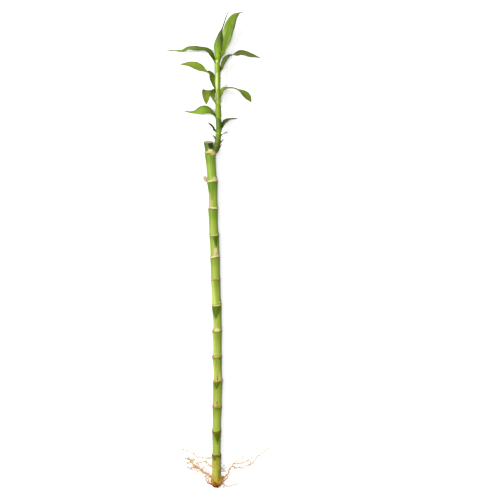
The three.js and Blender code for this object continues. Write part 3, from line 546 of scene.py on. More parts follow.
def cane_profile(height):
    """Per height: place across, middle's height, radius, slant, sag and cut slope. Between rings
    the radius goes from the shoulder to the waist as a quarter sine to the power 1.4, then flares
    a little over the lower ring. A ring's slant and sag die out midway."""
    low = np.clip(np.searchsorted(cane_stops[:, 0], height, "right") - 1, 0, len(cane_stops) - 2)
    lower, upper = cane_stops[low].T, cane_stops[low + 1].T
    share = (height - lower[0]) / (upper[0] - lower[0])
    down = 1 - share
    inwards = np.sin(np.pi / 2 * np.minimum(1, down / NARROWEST)) ** 1.4
    narrow = inwards * (1 - FOOT_FLARE * smoothstep((down - FLARE_FROM) / FLARE_SPAN))
    stub = low == len(cane_stops) - 2
    radius = mix(upper[2] * SHOULDER, lower[3], narrow)
    radius = np.where(stub, mix(lower[3], upper[2], share), radius)
    side = mix(lower[1], upper[1], share) + np.where(stub, 0, lower[4] * narrow)
    middle = np.where(stub, lower[2], mix(lower[2], upper[2], share))
    fade = np.where(stub, 1 - share, np.abs(2 * share - 1) ** 1.5)
    nearer = np.where(stub | (share <= 0.5), lower, upper)
    return side, middle, radius, nearer[5] * fade, nearer[6] * fade, stub * TOP_SLOPE * share


print("rows of the cane's grid:", len(cane_heights()))

# %% [markdown]
# Round each ring the skin has a lip, a few fine folds on either side of it, and a line that
# wavers. The mesh also carries what the colour needs to know: how deep a point lies inside each
# kind of mark, how near it is to a ring's line, for a painted shadow just under it, and how far
# round the cane it is, for painted shade on the cane's right side and at the ends of each line.

# %% The cane's skin
CANE_COLUMNS = 96
LIP_HALF_HEIGHT = 0.45
LIP_FALL = 1.0
FOLD_DEPTH, FOLD_EVERY, FOLD_REACH = 0.07, 0.85, 2.4
RING_WAVES = [[0.28, 3, 1.7], [0.16, 7, 2.9]]  # mm high, times round, turn from ring to ring
FOOT_CHAMFER = 0.5
CUT_DISH = 0.35
CUT_RIM = 0.08
CUT_INSETS = [0.985, 0.96, 0.9, 0.8, 0.65, 0.45, 0.25, 0.08]
SHADOW_UNDER_LINE = 0.6
GROWN_TOP = 150.0  # where the cut-off internode would have had its ring


def ring_distance(angle, height):
    """Signed mm from the nearest ring's own wavy line, and which ring that is."""
    nearest = np.abs(height - ring_rows[:, 0]).argmin(axis=-1)
    waves = sum(high * np.sin(times * np.radians(angle) + shift * nearest[:, None])
                for high, times, shift in RING_WAVES)
    return height - ring_rows[nearest, 0][:, None] + waves, nearest


def cane_fields(angle, height, from_ring, nearest, inset):
    """The numbers that the colour follows, for every point and for the two that close the ends."""
    right = np.cos(np.radians(angle))
    flat = np.zeros(from_ring.shape)
    fields = {kind: flat for kind in MARK_KINDS}
    for mark in MARKS:
        fields[mark[0]] = np.maximum(fields[mark[0]], mark_depth(mark, angle, height))
    half_line = np.array(RING_LINES)[nearest][:, None] / 2
    fields["line"] = np.clip(1 - np.abs(from_ring) / (2 * half_line), 0, 1)
    # painted shadow just under each ring's line
    fields["under"] = np.exp(-((from_ring + half_line + SHADOW_UNDER_LINE) ** 2) / 0.4)
    fields["tone"] = flat + np.array(RING_TONES)[nearest][:, None]
    # painted shade: ring lines browner towards both sides of the cane
    fields["limb"] = flat + np.abs(right) ** 6
    # painted shade: the cane's right side darker green
    fields["lee"] = flat + smoothstep((right - 0.6) / 0.4)
    stops = np.concatenate([[CANE_FOOT[0]], ring_rows[:, 0], [GROWN_TOP]])[:, None]
    above = np.searchsorted(ring_rows[:, 0], height[:, 0]) + 1
    down = (stops[above] - height) / (stops[above] - stops[above - 1])
    fields["fresh"] = flat + 1 - smoothstep(down / 0.75)
    fields["cut"] = flat + (1 - inset) + (inset < 1) * CUT_RIM
    return {k: np.append(v.ravel(), [v[0, 0], v[-1, 0]]) for k, v in fields.items()}


def cane_skin():
    """Rows of height, columns of angle: x = side + r cos, z = middle + r sin, y = height + slant.
    Returns points, faces and fields."""
    height = cane_heights()
    inset = np.concatenate([np.ones(len(height)), CUT_INSETS])[:, None]
    height = np.concatenate([height, np.full(len(CUT_INSETS), CANE_TOP[0])])
    side, middle, radius, rise, sag, slope = (column[:, None] for column in cane_profile(height))
    height = height[:, None]
    angle = (-90 + 360 * np.arange(CANE_COLUMNS) / CANE_COLUMNS)[None, :]
    right, top = np.cos(np.radians(angle)), np.sin(np.radians(angle))
    from_ring, nearest = ring_distance(angle, height)
    lip = 1 - smoothstep((np.abs(from_ring) - LIP_HALF_HEIGHT) / LIP_FALL)
    folds = FOLD_DEPTH * np.cos(2 * np.pi * from_ring / FOLD_EVERY)
    folds *= np.exp(-((from_ring / FOLD_REACH) ** 2))
    radius = mix(radius, ring_rows[nearest, 2][:, None], lip) + folds + scar_lift(angle, height)
    radius = (radius - np.where(height == CANE_FOOT[0], FOOT_CHAMFER, 0)) * inset
    slant = rise / 2 * right - sag * smoothstep(top / 0.8) - slope * radius * top
    dish = CUT_DISH * (1 - inset) ** 0.5
    upright = np.maximum(0, middle + radius * top)
    grid = np.stack([side + radius * right, height + slant - dish, upright], axis=-1)
    return *close_grid(grid), cane_fields(angle, height, from_ring, nearest, inset)


cane_points, cane_faces, cane_numbers = cane_skin()
print("cane box, mm:", cane_points.min(axis=0).round(1), cane_points.max(axis=0).round(1))

# %% [markdown]
# The skin of the cane is waxy and yellow-green, with fine streaks along it. Older stretches near
# the roots are yellower. Leaf scars are cork: cream where young, brown where old. Everything is
# laid over the green in turn, each layer with its own frayed edge. Some layers are painted light
# and shade: paler green down the left side, darker green on the right side and on the right of the
# cut-off top, a painted shadow under each ring's line, and ring lines browner towards the sides.

# %% The cane's finish
RING_STOPS = [(0.0, paint(112, 82, 20)), (0.3, paint(164, 130, 46)), (0.55, paint(200, 180, 88)),
              (0.8, paint(222, 210, 130)), (1.0, paint(244, 236, 180))]
CORKS = {"gold": (paint(212, 180, 78), 0.8), "cork": (paint(226, 206, 150), 0.9),
         "cream": (paint(240, 226, 158), 0.95), "blush": (paint(214, 192, 128), 0.7),
         "pink": (paint(214, 184, 118), 0.95), "brown": (paint(112, 78, 24), 0.8)}
GREEN_MARKS = {  # frayed by grain and by streaks, eased from and to, cover, colour
    # light: painted light on the cane's left side
    "light": (0.2, 0.4, 0.0, 0.9, 0.7, paint(210, 224, 112)),
    "shade": (0.2, 0.3, 0.05, 0.9, 0.6, paint(92, 128, 16)),
    "dark": (0.3, 0.45, 0.1, 0.7, 0.92, paint(80, 106, 4)),
    # deep: painted shade on the right of the cut-off top
    "deep": (0.3, 0.0, 0.1, 0.8, 0.85, paint(34, 46, 8)),
}


def cane_finish():
    board = Board("waxy_cane")
    streaks = board.grain(900, 3, (1, 0.05, 1))
    clouds = board.grain(90, 4, (1, 0.45, 1))
    fray = board.grain(1100, 5) - 0.5
    speck = board.grain(2600, 3)

    def marked(colour, kind):
        frayed, streaked, low, high, most, tint = GREEN_MARKS[kind]
        depth = board.field(kind) + fray * frayed + (streaks - 0.5) * streaked
        return board.blend(board.edge(depth, low, high) * most, colour, tint)

    height = board.node("ShaderNodeSeparateXYZ", sockets={0: board.place()}, out="Y")
    young = board.edge(height + (clouds - 0.5) * 0.08, -0.16, 0.16)
    depth = streaks * 0.6 + clouds * 0.5 + board.field("fresh") * 0.45
    light = board.blend(young, paint(176, 192, 76), paint(164, 192, 64))
    full = board.blend(young, paint(136, 154, 40), paint(110, 148, 24))
    green = board.blend(board.edge(depth, 0.35, 1.15), light, full)
    # painted light: paler green on the cane's left side
    green = marked(green, "light")
    old = board.edge(height + (clouds - 0.5) * 0.05, -0.245, -0.272)
    mottled = board.blend(board.edge(clouds + streaks * 0.3, 0.45, 0.8),
                          paint(204, 192, 74), paint(158, 164, 50))
    colour = board.blend(old * 0.85, green, mottled)
    # painted shade: the cane's right side darker green
    lee = (board.field("lee") + (streaks - 0.5) * 0.3).held()
    colour = board.blend(lee * 0.8, colour, paint(76, 98, 18))
    # the deep mark, like the cut-off top's dark mark on its right, is painted shade
    for kind in ["shade", "dark", "deep"]:
        colour = marked(colour, kind)
    # painted shadow under each ring's line
    colour = board.blend((board.field("under") * 0.6).held(), colour, paint(84, 96, 26))
    # limb is painted shade that browns the ring lines towards the cane's sides
    tone = board.field("tone") + (speck - 0.5) * 0.25 - board.field("limb") * 0.45 + fray * 0.15
    line_colour = board.node("ShaderNodeValToRGB", {"stops": RING_STOPS}, {0: tone.held()})
    line = board.edge(board.field("line") + fray * 0.5, 0.42, 0.56)
    rim = board.edge(board.field("line") + fray * 0.6, 0.25, 0.42)
    colour = board.blend(rim * 0.5, colour, paint(118, 100, 36))
    colour = board.blend(line, colour, line_colour)
    cork = line
    for kind, (tint, most) in CORKS.items():
        cover = board.edge(board.field(kind) + fray * 0.45, 0.12, 0.42)
        dabbed = board.blend(board.edge(speck, 0.42, 0.75) * 0.35, tint, paint(160, 122, 72))
        colour = board.blend(cover * most, colour, dabbed if kind != "brown" else tint)
        cork = board.node("ShaderNodeMath", {"operation": "MAXIMUM"}, {0: cork, 1: cover})
    cut = board.edge(board.field("cut"), 0.02, 0.07)
    wood = board.blend(board.edge(board.field("cut") + fray * 0.1, 0.1, 0.24),
                       paint(112, 96, 48), paint(216, 199, 150))
    colour = board.blend(cut, colour, board.blend(board.edge(speck, 0.55, 0.72) * 0.6, wood,
                                                  paint(160, 134, 88)))
    roughness = 0.4 + cork * 0.4 + cut * 0.3 + (streaks - 0.5) * 0.1
    bumps = streaks * 0.35 + cork * (board.grain(1500, 5) * 1.4) + cut * speck
    return board.finish(colour, roughness, bumps, 0.00018, coat=0.02, specular=0.2)


add_piece("cane_skin", cane_points, cane_faces, cane_finish(), ["cane"],
          cane_numbers)

# %% [markdown]
# ## Leaves
# A Dracaena leaf is a rolled sheath that clasps the stem and opens into a blade. One formula
# covers both: each section is an arc square to the midrib, `width` long and curled through `wrap`
# degrees, and `roll` turns it about the midrib. A sheath is an arc of almost a whole turn. In the
# table `round` is the side of the stem that a leaf grows from, `from` and `to` say where on the
# stem its sheath begins and ends, and `foot` and `mouth` are its radii there. A blade's rows are
# [x, y, z, width, wrap, roll], and a smooth run goes through them.

# %% The shoot's stem and its leaves, as measured
STEM_ROUTE = [
    [-2.4, 122.6, 12.2], [-0.9, 126.8, 13.3], [0.4, 133.0, 13.7], [1.5, 143.5, 13.5],
    [2.1, 151.5, 13.1], [1.6, 167.9, 12.4], [1.3, 184.1, 12.2], [0.6, 200.2, 12.5],
    [0.7, 216.4, 13.0], [0.2, 230.6, 13.5], [0.9, 240.5, 14.0], [1.5, 248.0, 14.5],
]
SHEATH_FOOT_RADIUS = 2.85
SHEATH_MOUTH_RADIUS = 3.5
SHEATH_WRAP = 352
MOUTH_WRAP = 170
CLASP = 0.4  # how far a sheath starts inside the one below, in mm
LEAVES = [
    {"name": "leaf_01_scale", "round": 10, "from": 1.8, "to": 6, "foot": 3.5, "mouth": 3.9,
     "blade": [[4.6, 129.6, 14.8, 2.8, 90, 100], [5.7, 131.6, 15.4, 0.8, 20, 60]]},
    {"name": "leaf_02_scale", "round": -20, "to": 11, "foot": 3.4, "mouth": 3.85,
     "blade": [[5.8, 135.6, 10.6, 2.8, 80, 60], [7.9, 138.6, 10.0, 0.9, 20, 40]]},
    {"name": "leaf_03_scale", "round": 200, "to": 16, "foot": 3.35, "mouth": 3.85,
     "blade": [[-4.0, 141.2, 11.4, 3.2, 80, 310], [-6.2, 144.2, 11.2, 0.9, 20, 330]]},
    {"name": "leaf_04_scale", "round": 20, "to": 20.5, "foot": 3.3, "mouth": 3.75,
     "blade": [[7.2, 144.2, 15.6, 2.6, 60, 80], [9.8, 145.6, 16.4, 1.5, 30, 40],
               [12.7, 146.9, 17.5, 0.9, 20, 20]]},
    {"name": "leaf_05_small_left", "round": 170, "from": 20.6, "to": 24.5, "foot": 3.3,
     "mouth": 3.7,
     "blade": [[-3.8, 149.2, 14.2, 5.0, 80, 310], [-5.3, 152.8, 15.6, 4.4, 55, 304],
               [-8.2, 156.2, 17.2, 3.1, 40, 310], [-11.3, 157.9, 18.5, 0.8, 20, 325]]},
    {"name": "leaf_06_small_right", "round": -5, "from": 25, "to": 28, "foot": 3.2, "mouth": 3.7,
     "blade": [[6.2, 152.6, 11.4, 7.0, 95, 54], [7.8, 156.6, 10.4, 7.4, 70, 48],
               [9.6, 160.4, 9.0, 6.6, 55, 46], [13.0, 162.9, 7.2, 5.0, 45, 48],
               [17.5, 164.4, 5.0, 3.6, 40, 45], [25.1, 165.5, 0.9, 0.8, 20, 30]]},
    {"name": "leaf_07_broad_left", "round": 185, "to": 42, "foot": 3.1, "mouth": 3.55,
     "blade": [[-3.7, 168.0, 12.6, 4.8, 85, 300], [-7.2, 171.6, 12.0, 7.0, 55, 318],
               [-11.0, 173.7, 11.0, 10.2, 40, 333], [-14.8, 174.8, 10.0, 12.2, 35, 338],
               [-20.9, 174.6, 8.0, 10.6, 35, 340], [-26.6, 173.3, 5.8, 5.8, 35, 340],
               [-32.4, 172.8, 3.8, 3.2, 30, 338], [-36.8, 173.6, 2.0, 2.0, 20, 340],
               [-41.3, 174.3, 0.6, 1.0, 20, 345]]},
    {"name": "leaf_08_folded_left", "round": 190, "to": 60, "faces": [-1, 0, 0],
     "blade": [[-5.6, 188.0, 13.0, 7.8, 115, 150], [-7.2, 193.4, 15.2, 9.2, 80, 114],
               [-8.0, 197.6, 18.0, 13.4, 40, 94], [-10.8, 198.2, 21.4, 13.4, 26, 90],
               [-12.2, 196.6, 24.6, 12.4, 26, 90], [-12.9, 192.0, 26.6, 10.4, 34, 90],
               [-13.1, 187.2, 26.6, 7.4, 40, 90], [-13.1, 183.6, 25.6, 4.4, 40, 90],
               [-13.1, 180.8, 24.6, 1.6, 20, 90]]},
    {"name": "leaf_09_hanging_right", "round": 20, "to": 66.5,
     "blade": [[5.0, 193.2, 14.0, 7.2, 105, 56], [6.3, 196.8, 16.0, 8.4, 75, 44],
               [8.8, 199.6, 18.8, 7.8, 52, 50], [13.8, 200.8, 22.4, 5.8, 40, 68],
               [21.1, 200.1, 27.0, 5.4, 30, 72], [27.3, 197.4, 28.7, 7.0, 30, 60],
               [32.9, 193.9, 27.7, 9.2, 30, 42], [37.2, 190.8, 25.5, 9.2, 30, 25],
               [40.3, 187.5, 22.0, 5.8, 30, 15], [42.4, 183.7, 18.0, 0.6, 20, 15]]},
    {"name": "leaf_10_twisted_left", "round": 170, "to": 77.5,
     "blade": [[-4.6, 205.0, 13.6, 9.0, 100, 304], [-6.2, 213.2, 15.8, 10.6, 65, 316],
               [-9.6, 219.0, 20.0, 9.2, 48, 306], [-14.2, 221.2, 24.6, 5.8, 38, 246],
               [-19.2, 224.0, 27.4, 9.8, 35, 216], [-25.1, 227.3, 30.0, 9.8, 35, 210],
               [-31.8, 229.0, 30.8, 7.4, 35, 205], [-38.6, 229.4, 30.5, 4.4, 35, 205],
               [-45.2, 229.4, 29.0, 1.0, 20, 200]]},
    {"name": "leaf_11_twisted_right", "round": 10, "to": 99,
     "blade": [[6.0, 225.0, 14.2, 7.6, 110, 66], [8.2, 231.4, 15.8, 8.6, 75, 52],
               [10.4, 236.9, 17.2, 8.4, 58, 40], [14.0, 240.4, 18.8, 7.0, 45, 52],
               [18.8, 242.2, 19.5, 6.0, 35, 84], [24.1, 243.8, 18.5, 7.2, 30, 120],
               [29.7, 245.5, 16.0, 7.9, 35, 135], [35.9, 244.9, 12.0, 7.4, 35, 140],
               [41.5, 243.6, 8.0, 6.0, 35, 140], [47.2, 242.7, 4.0, 3.5, 35, 140],
               [53.3, 241.3, 0.6, 0.9, 20, 150]]},
    {"name": "leaf_12_long_left", "round": 175, "to": 110,
     "blade": [[-4.4, 236.6, 14.2, 7.0, 110, 302], [-6.3, 240.8, 14.8, 7.6, 82, 308],
               [-9.0, 246.2, 16.0, 7.8, 62, 318], [-14.6, 249.3, 17.0, 8.6, 50, 315],
               [-22.5, 249.9, 17.0, 9.2, 45, 311], [-29.0, 251.1, 15.5, 9.6, 40, 314],
               [-35.7, 251.3, 12.5, 8.6, 40, 312], [-40.6, 249.8, 9.4, 5.6, 40, 318],
               [-44.0, 249.2, 7.4, 3.4, 40, 330], [-49.5, 249.6, 5.0, 2.0, 40, 350],
               [-54.0, 250.2, 2.8, 1.5, 30, 352], [-60.0, 250.3, 1.5, 1.0, 20, 350],
               [-66.1, 249.8, 0.6, 0.8, 20, 350]]},
    {"name": "leaf_13_broad_top", "round": -50, "to": 116.5, "mouth": 3.6,
     "blade": [[6.2, 245.2, 10.2, 9.8, 80, 34], [8.0, 254.0, 10.4, 12.2, 42, 28],
               [10.8, 262.5, 12.2, 13.6, 26, 20], [13.5, 270.9, 14.4, 13.8, 22, 14],
               [15.9, 278.6, 16.9, 13.0, 26, 8], [18.8, 285.1, 19.0, 11.2, 34, 0],
               [22.3, 290.1, 20.5, 7.8, 40, -6], [26.0, 293.0, 21.5, 3.8, 50, -14],
               [28.4, 294.4, 22.0, 1.5, 40, -14], [33.1, 294.7, 22.0, 0.8, 20, -10]]},
    {"name": "leaf_14_furled_top", "round": 125, "to": 122.5, "foot": 3.2, "mouth": 4.1,
     "blade": [[-0.6, 248.6, 18.8, 13.8, 142, 206], [0.3, 257.4, 20.7, 13.8, 134, 202],
               [2.6, 264.2, 22.2, 10.4, 125, 200], [4.9, 269.8, 23.6, 4.4, 95, 196],
               [6.6, 274.6, 24.7, 1.9, 60, 192], [8.3, 279.4, 25.7, 1.6, 40, 190],
               [11.0, 287.2, 26.8, 1.3, 30, 190], [14.1, 294.5, 27.5, 1.0, 20, 190]]},
]
stem_run = smooth_run(STEM_ROUTE)
print("shoot stem, mm:", round(stem_run[1][-1], 1))

# %% [markdown]
# The stem itself shows only where it leaves the cane, at its thick foot, and inside open sheaths.

# %% The shoot's stem
STEM_SIDES = 32
STEM_FOOT_RADIUS = 3.3
STEM_EASE = 1.1


def stem_skin():
    """Foot radius, less 1.1 mm over the first 5 mm, and slowly less 1.1 mm again to the tip."""
    distance = np.linspace(0, stem_run[1][-1], 160)
    eased = smoothstep(distance / 5) + smoothstep(distance / distance[-1])
    radius = STEM_FOOT_RADIUS - STEM_EASE * eased
    path = read_run(stem_run, distance)[None]
    points, faces = tubes(path, radius[None], STEM_SIDES)
    return points, faces, spread_over_tubes(distance[None], STEM_SIDES)


stem_points, stem_faces, stem_distance = stem_skin()
print("points on the stem:", len(stem_points))

# %% [markdown]
# Leaf colours run from yellow-green to a deep green. The mesh carries a `tone` for that, with the
# place along and across the blade: long veins follow the place across, so that they draw together
# at the tip as real ones do. The margin is darker, the midrib paler, and a tip dries to grey.
# Sheaths get painted shade on their right and a pale painted highlight on their left.

# %% The leaves' finish
VEINS = 13


def leaf_finish(name, light, deep, dryness):
    """`light` and `deep` are pairs: the colour of a fresh green leaf and of an olive one."""
    board = Board(name)
    across, along = board.field("across"), board.field("along")
    sheath, olive, tip = board.field("sheath"), board.field("olive"), board.field("dry")
    clouds = board.grain(120, 4) - 0.5
    fine = board.grain(900, 3) - 0.5
    lengthwise = board.node("ShaderNodeCombineXYZ", sockets={0: across * 5.0, 1: along * 0.035})
    streaks = board.node("ShaderNodeTexNoise", sockets={"Vector": lengthwise, "Detail": 4.0}) - 0.5
    vein_place = across * (np.pi * VEINS) + fine * 0.9
    veins = vein_place.wave() * 0.5 + 0.5
    thread = (vein_place * 4.0).wave() * 0.5 + 0.5
    depth = board.field("tone") + clouds * 0.3 + (veins - 0.5) * 0.16
    depth = depth + streaks * 0.6
    depth = depth + (thread - 0.5) * 0.06 + (abs(across) ** 5.0) * 0.3 * (1 - sheath)
    pale, dark = board.blend(olive, *light), board.blend(olive, *deep)
    colour = board.blend(board.edge(depth, -0.1, 1.15), pale, dark)
    rib = board.edge(abs(across) * -1.0, -0.09, -0.01) * (1 - sheath)
    colour = board.blend(rib * 0.35, colour, pale)
    # painted highlight: the pale strip on a sheath's left, and the painted light wash on a blade's
    # foot
    painted_highlight = board.edge(board.field("pale") + streaks * 0.5 + fine * 0.2, 0.25, 0.7)
    colour = board.blend(painted_highlight * 0.9, colour, paint(226, 238, 150))
    dead = board.blend(board.edge(tip, 0.75, 0.95), paint(88, 82, 48), paint(150, 146, 122))
    colour = board.blend(board.edge(tip + fine * 0.3, 0.35, 0.7) * dryness, colour, dead)
    roughness = 0.48 + tip * 0.25 + fine * 0.12
    height = veins * 0.6 + thread * 0.25 + fine * 0.5
    return board.finish(colour, roughness, height, 0.00012, coat=0.03, specular=0.2)


green_leaf = leaf_finish("green_leaf", (paint(158, 196, 44), paint(168, 190, 52)),
                         (paint(48, 74, 4), paint(54, 66, 4)), 0.9)
pale_leaf = leaf_finish("pale_leaf", (paint(156, 188, 48), paint(162, 182, 58)),
                        (paint(50, 72, 6), paint(54, 66, 10)), 0.9)
dry_scale = leaf_finish("dry_scale", (paint(140, 166, 44), paint(150, 158, 50)),
                        (paint(40, 58, 6), paint(50, 56, 14)), 1.0)
stem_green = leaf_finish("stem_green", (paint(150, 176, 44), paint(150, 160, 50)),
                         (paint(50, 74, 8), paint(60, 64, 12)), 0.9)

# %% [markdown]
# Eleven numbers colour each leaf. Eight say how dark it is: three along the upper face from foot
# to tip, three along the under face, how much more where `across` is positive, and the sheath's.
# The last three are the painted highlight strip on the sheath's left, how olive the leaf is, and
# the pale wash above the blade's foot, which is painted light.

# %% The leaves' tones
LEAF_TONES = {
    "leaf_01_scale": [0.9, 1.0, 1.1, 0.9, 1.0, 1.1, 0.0, 0.75, 0.0, 0.2, 0.0],
    "leaf_02_scale": [0.9, 1.0, 1.1, 0.9, 1.0, 1.1, 0.0, 0.62, 0.0, 0.1, 0.0],
    "leaf_03_scale": [1.0, 1.1, 1.2, 0.9, 1.0, 1.1, 0.0, 0.5, 0.0, 0.0, 0.0],
    "leaf_04_scale": [0.9, 1.0, 1.1, 0.9, 1.0, 1.1, 0.0, 0.38, 0.0, 0.0, 0.0],
    "leaf_05_small_left": [0.85, 0.95, 1.1, 0.8, 0.9, 1.1, 0.0, 0.38, 0.0, 0.3, 0.0],
    "leaf_06_small_right": [0.8, 0.85, 0.8, 0.8, 0.8, 0.9, 0.0, 0.45, 0.0, 0.5, 0.0],
    "leaf_07_broad_left": [0.8, 0.36, 0.35, 0.5, 0.3, 0.6, 0.16, 0.72, 0.0, 0.1, 0.0],
    "leaf_08_folded_left": [0.05, 0.68, 0.45, 0.05, 0.62, 0.65, 0.0, 0.36, 0.2, 0.8, 0.0],
    "leaf_09_hanging_right": [0.4, 0.45, 0.4, 0.5, 0.4, 0.4, 0.0, 0.22, 0.5, 0.5, 0.0],
    "leaf_10_twisted_left": [0.35, 0.6, 0.5, 0.35, 0.34, 0.34, 0.0, 0.15, 0.95, 0.45, 0.0],
    "leaf_11_twisted_right": [0.75, 0.8, 0.6, 0.6, 0.55, 0.45, 0.0, 0.3, 0.95, 0.8, 0.0],
    "leaf_12_long_left": [0.8, 0.6, 0.3, 0.4, 0.4, 0.5, 0.0, 0.25, 0.38, 0.1, 0.0],
    # leaf_13: its light foot tone and its wash are painted light where leaf_14 shades it
    "leaf_13_broad_top": [-0.6, 0.42, 0.6, 0.3, 0.3, 0.4, 0.26, 0.2, 0.65, 0.0, 0.54],
    "leaf_14_furled_top": [0.2, 0.95, 0.8, 0.2, 0.95, 0.9, -0.1, 0.2, 0.25, 0.1, 0.0],
}
print("leaves with tones:", len(LEAF_TONES))

# %% [markdown]
# The sheath's rows follow the stem: its middle line lies `radius` out from the stem's own, on the
# side named by `round`, and its roll is the turn that brings the arc round the stem.

# %% Sheaths
def sheath_rows(leaf):
    """Rows of [x, y, z, width, wrap, roll] up the stem, and each row's distance on the stem."""
    length = leaf["to"] - leaf["from"]
    foot, mouth = leaf.get("foot", SHEATH_FOOT_RADIUS), leaf.get("mouth", SHEATH_MOUTH_RADIUS)
    above = [0, CLASP + 0.2, min(length / 2, 2.4), length * 0.6, length - CLASP - 0.2, length]
    radius = mix(foot, mouth, np.array([0, 0, 0.55, 0.85, 1, 1]))
    wrap = mix(SHEATH_WRAP, MOUTH_WRAP, np.array([0, 0, 0, 0, 0.4, 1]))
    distance = leaf["from"] + np.array(above)
    travel = run_direction(stem_run, distance)
    stem_up, stem_across = cross_frame(travel, (0, 0, 1))
    turn = np.radians(leaf["round"])
    outwards = stem_across * np.cos(turn) + stem_up * np.sin(turn)
    up, across = cross_frame(travel, leaf.get("faces", (0, 0, 1)))
    sideways, upwards = np.sum(outwards * across, axis=1), np.sum(outwards * up, axis=1)
    roll = np.degrees(np.arctan2(sideways, -upwards))
    roll = roll + 360 * np.round((leaf["blade"][0][5] - roll) / 360)
    place = read_run(stem_run, distance) + outwards * radius[:, None]
    return np.column_stack([place, radius * np.radians(wrap), wrap, roll]), distance


print("rows in a sheath:", len(sheath_rows(LEAVES[0])[0]))

# %% [markdown]
# Every section is an arc, placed by the directions along its chord and towards its hollow side.
# The leaf's two faces are that sheet moved a little to either side, and a strap of quads goes
# round both, so that the leaf is a closed skin with two thin edges.

# %% Sections and straps
def rolled_axes(travel, reference, roll):
    """Two directions square to travel: `wide` along a section's chord, and `under` towards its
    hollow side. The roll in degrees turns both about travel."""
    up, across = cross_frame(travel, reference)
    cos, sin = np.cos(np.radians(roll))[:, None], np.sin(np.radians(roll))[:, None]
    return across * cos + up * sin, across * sin - up * cos


def arc_sections(spine, wide, under, width, wrap, share):
    """point = midrib + wide bend sin(t) - under bend (1 - cos(t)), with t = share wrap / 2 and
    bend = width / wrap. Returns the points and the arc's normal at each."""
    turn = share * wrap[:, None] / 2
    bend = (width / wrap)[:, None]
    wide, under = wide[:, None], under[:, None]
    sheet = spine + wide * (bend * np.sin(turn))[..., None]
    sheet = sheet - under * (bend * (1 - np.cos(turn)))[..., None]
    return sheet, under * np.cos(turn)[..., None] + wide * np.sin(turn)[..., None]


def two_faces(sheet, normal, half):
    """The sheet moved half its thickness along its normal, then backwards half the other way."""
    return np.concatenate([sheet + normal * half, (sheet - normal * half)[:, ::-1]], axis=1)


def strap_faces(rows, count):
    """Quads round a flat strap whose rings hold one face and then the other, backwards, and
    quads that close its two ends."""
    ring = np.arange(count)
    after = (ring + 1) % count
    row = np.arange(rows - 1)[:, None] * count
    sides = np.stack([row + ring, row + count + ring, row + count + after, row + after], axis=-1)
    k = np.arange(count // 2 - 1)
    first = np.stack([k, k + 1, count - 2 - k, count - 1 - k], axis=-1)
    last = (rows - 1) * count + first[:, ::-1]
    return [np.concatenate([sides.reshape(-1, 4), first, last])]


print("faces of a strap, 3 rows of 8 points:", len(strap_faces(3, 8)[0]))

# %% [markdown]
# A blade isn't flat: it has a groove along its midrib, a thin edge, and ripples that grow towards
# the margin. All three are sums on the distance along the arc's own normal. The groove and the
# ripples fade in above the sheath's mouth, and out where the blade is narrow.

# %% Leaf skins
LEAF_COLUMNS = 32
LEAF_ROW = 0.85
LEAF_THICKNESS = 0.42
RIPPLE, RIPPLE_RADIAN = 0.45, 3.1  # its height, and the mm in which its sine turns one radian
GROOVE, GROOVE_SHARE = 0.3, 0.1
RIB, RIB_SHARE = 0.12, 0.12


def leaf_skin(leaf):
    """Arc sections along the sheath and the blade as one smooth run. Returns the rings, and what
    the leaf's colour follows: distance, mouth, length, share across, width and facing."""
    sheath, stem_distance_at = sheath_rows(leaf)
    run = smooth_run([*sheath, *leaf["blade"]])
    row_distance = run[1][::SPAN_SAMPLES][: len(sheath)]
    mouth, length = row_distance[-1], run[1][-1]
    distance = np.linspace(0, length, int(length / LEAF_ROW))
    on_stem = np.interp(distance, row_distance, stem_distance_at)
    leaving = smoothstep((distance - mouth + 2) / 5)[:, None]
    stem_way, blade_way = run_direction(stem_run, on_stem), run_direction(run, distance, 0.8)
    travel = unit(mix(stem_way, blade_way, leaving))
    x, y, z, width, wrap, roll = read_run(run, distance).T
    width, wrap = np.maximum(width, 0.3), np.radians(np.maximum(wrap, 5))
    wide, under = rolled_axes(travel, leaf.get("faces", (0, 0, 1)), roll)
    share = np.linspace(-1, 1, LEAF_COLUMNS + 1)[None, :]
    spine = np.stack([x, y, z], axis=1)[:, None]
    sheet, normal = arc_sections(spine, wide, under, width, wrap, share)
    blade = smoothstep((distance - mouth) / 8)[:, None] * smoothstep(width / 5)[:, None]
    waves = np.sin(distance / RIPPLE_RADIAN + leaf["to"])[:, None] * np.where(share > 0, 1, -0.7)
    groove = GROOVE * np.exp(-((share / GROOVE_SHARE) ** 2))
    sheet = sheet + normal * (blade * (groove + RIPPLE * waves * share**4))[..., None]
    thin = (1 - 0.55 * np.abs(share) ** 3) * mix(0.6, 1, smoothstep(width / 3))[:, None]
    half = LEAF_THICKNESS * thin / 2 + blade * RIB * np.exp(-((share / RIB_SHARE) ** 2))
    rings = two_faces(sheet, normal, half[..., None])
    rings[..., 2] = np.maximum(rings[..., 2], 0)
    facing = np.concatenate([normal[..., 0], normal[:, ::-1, 0]], axis=1)
    return rings, distance, mouth, length, share, width, facing


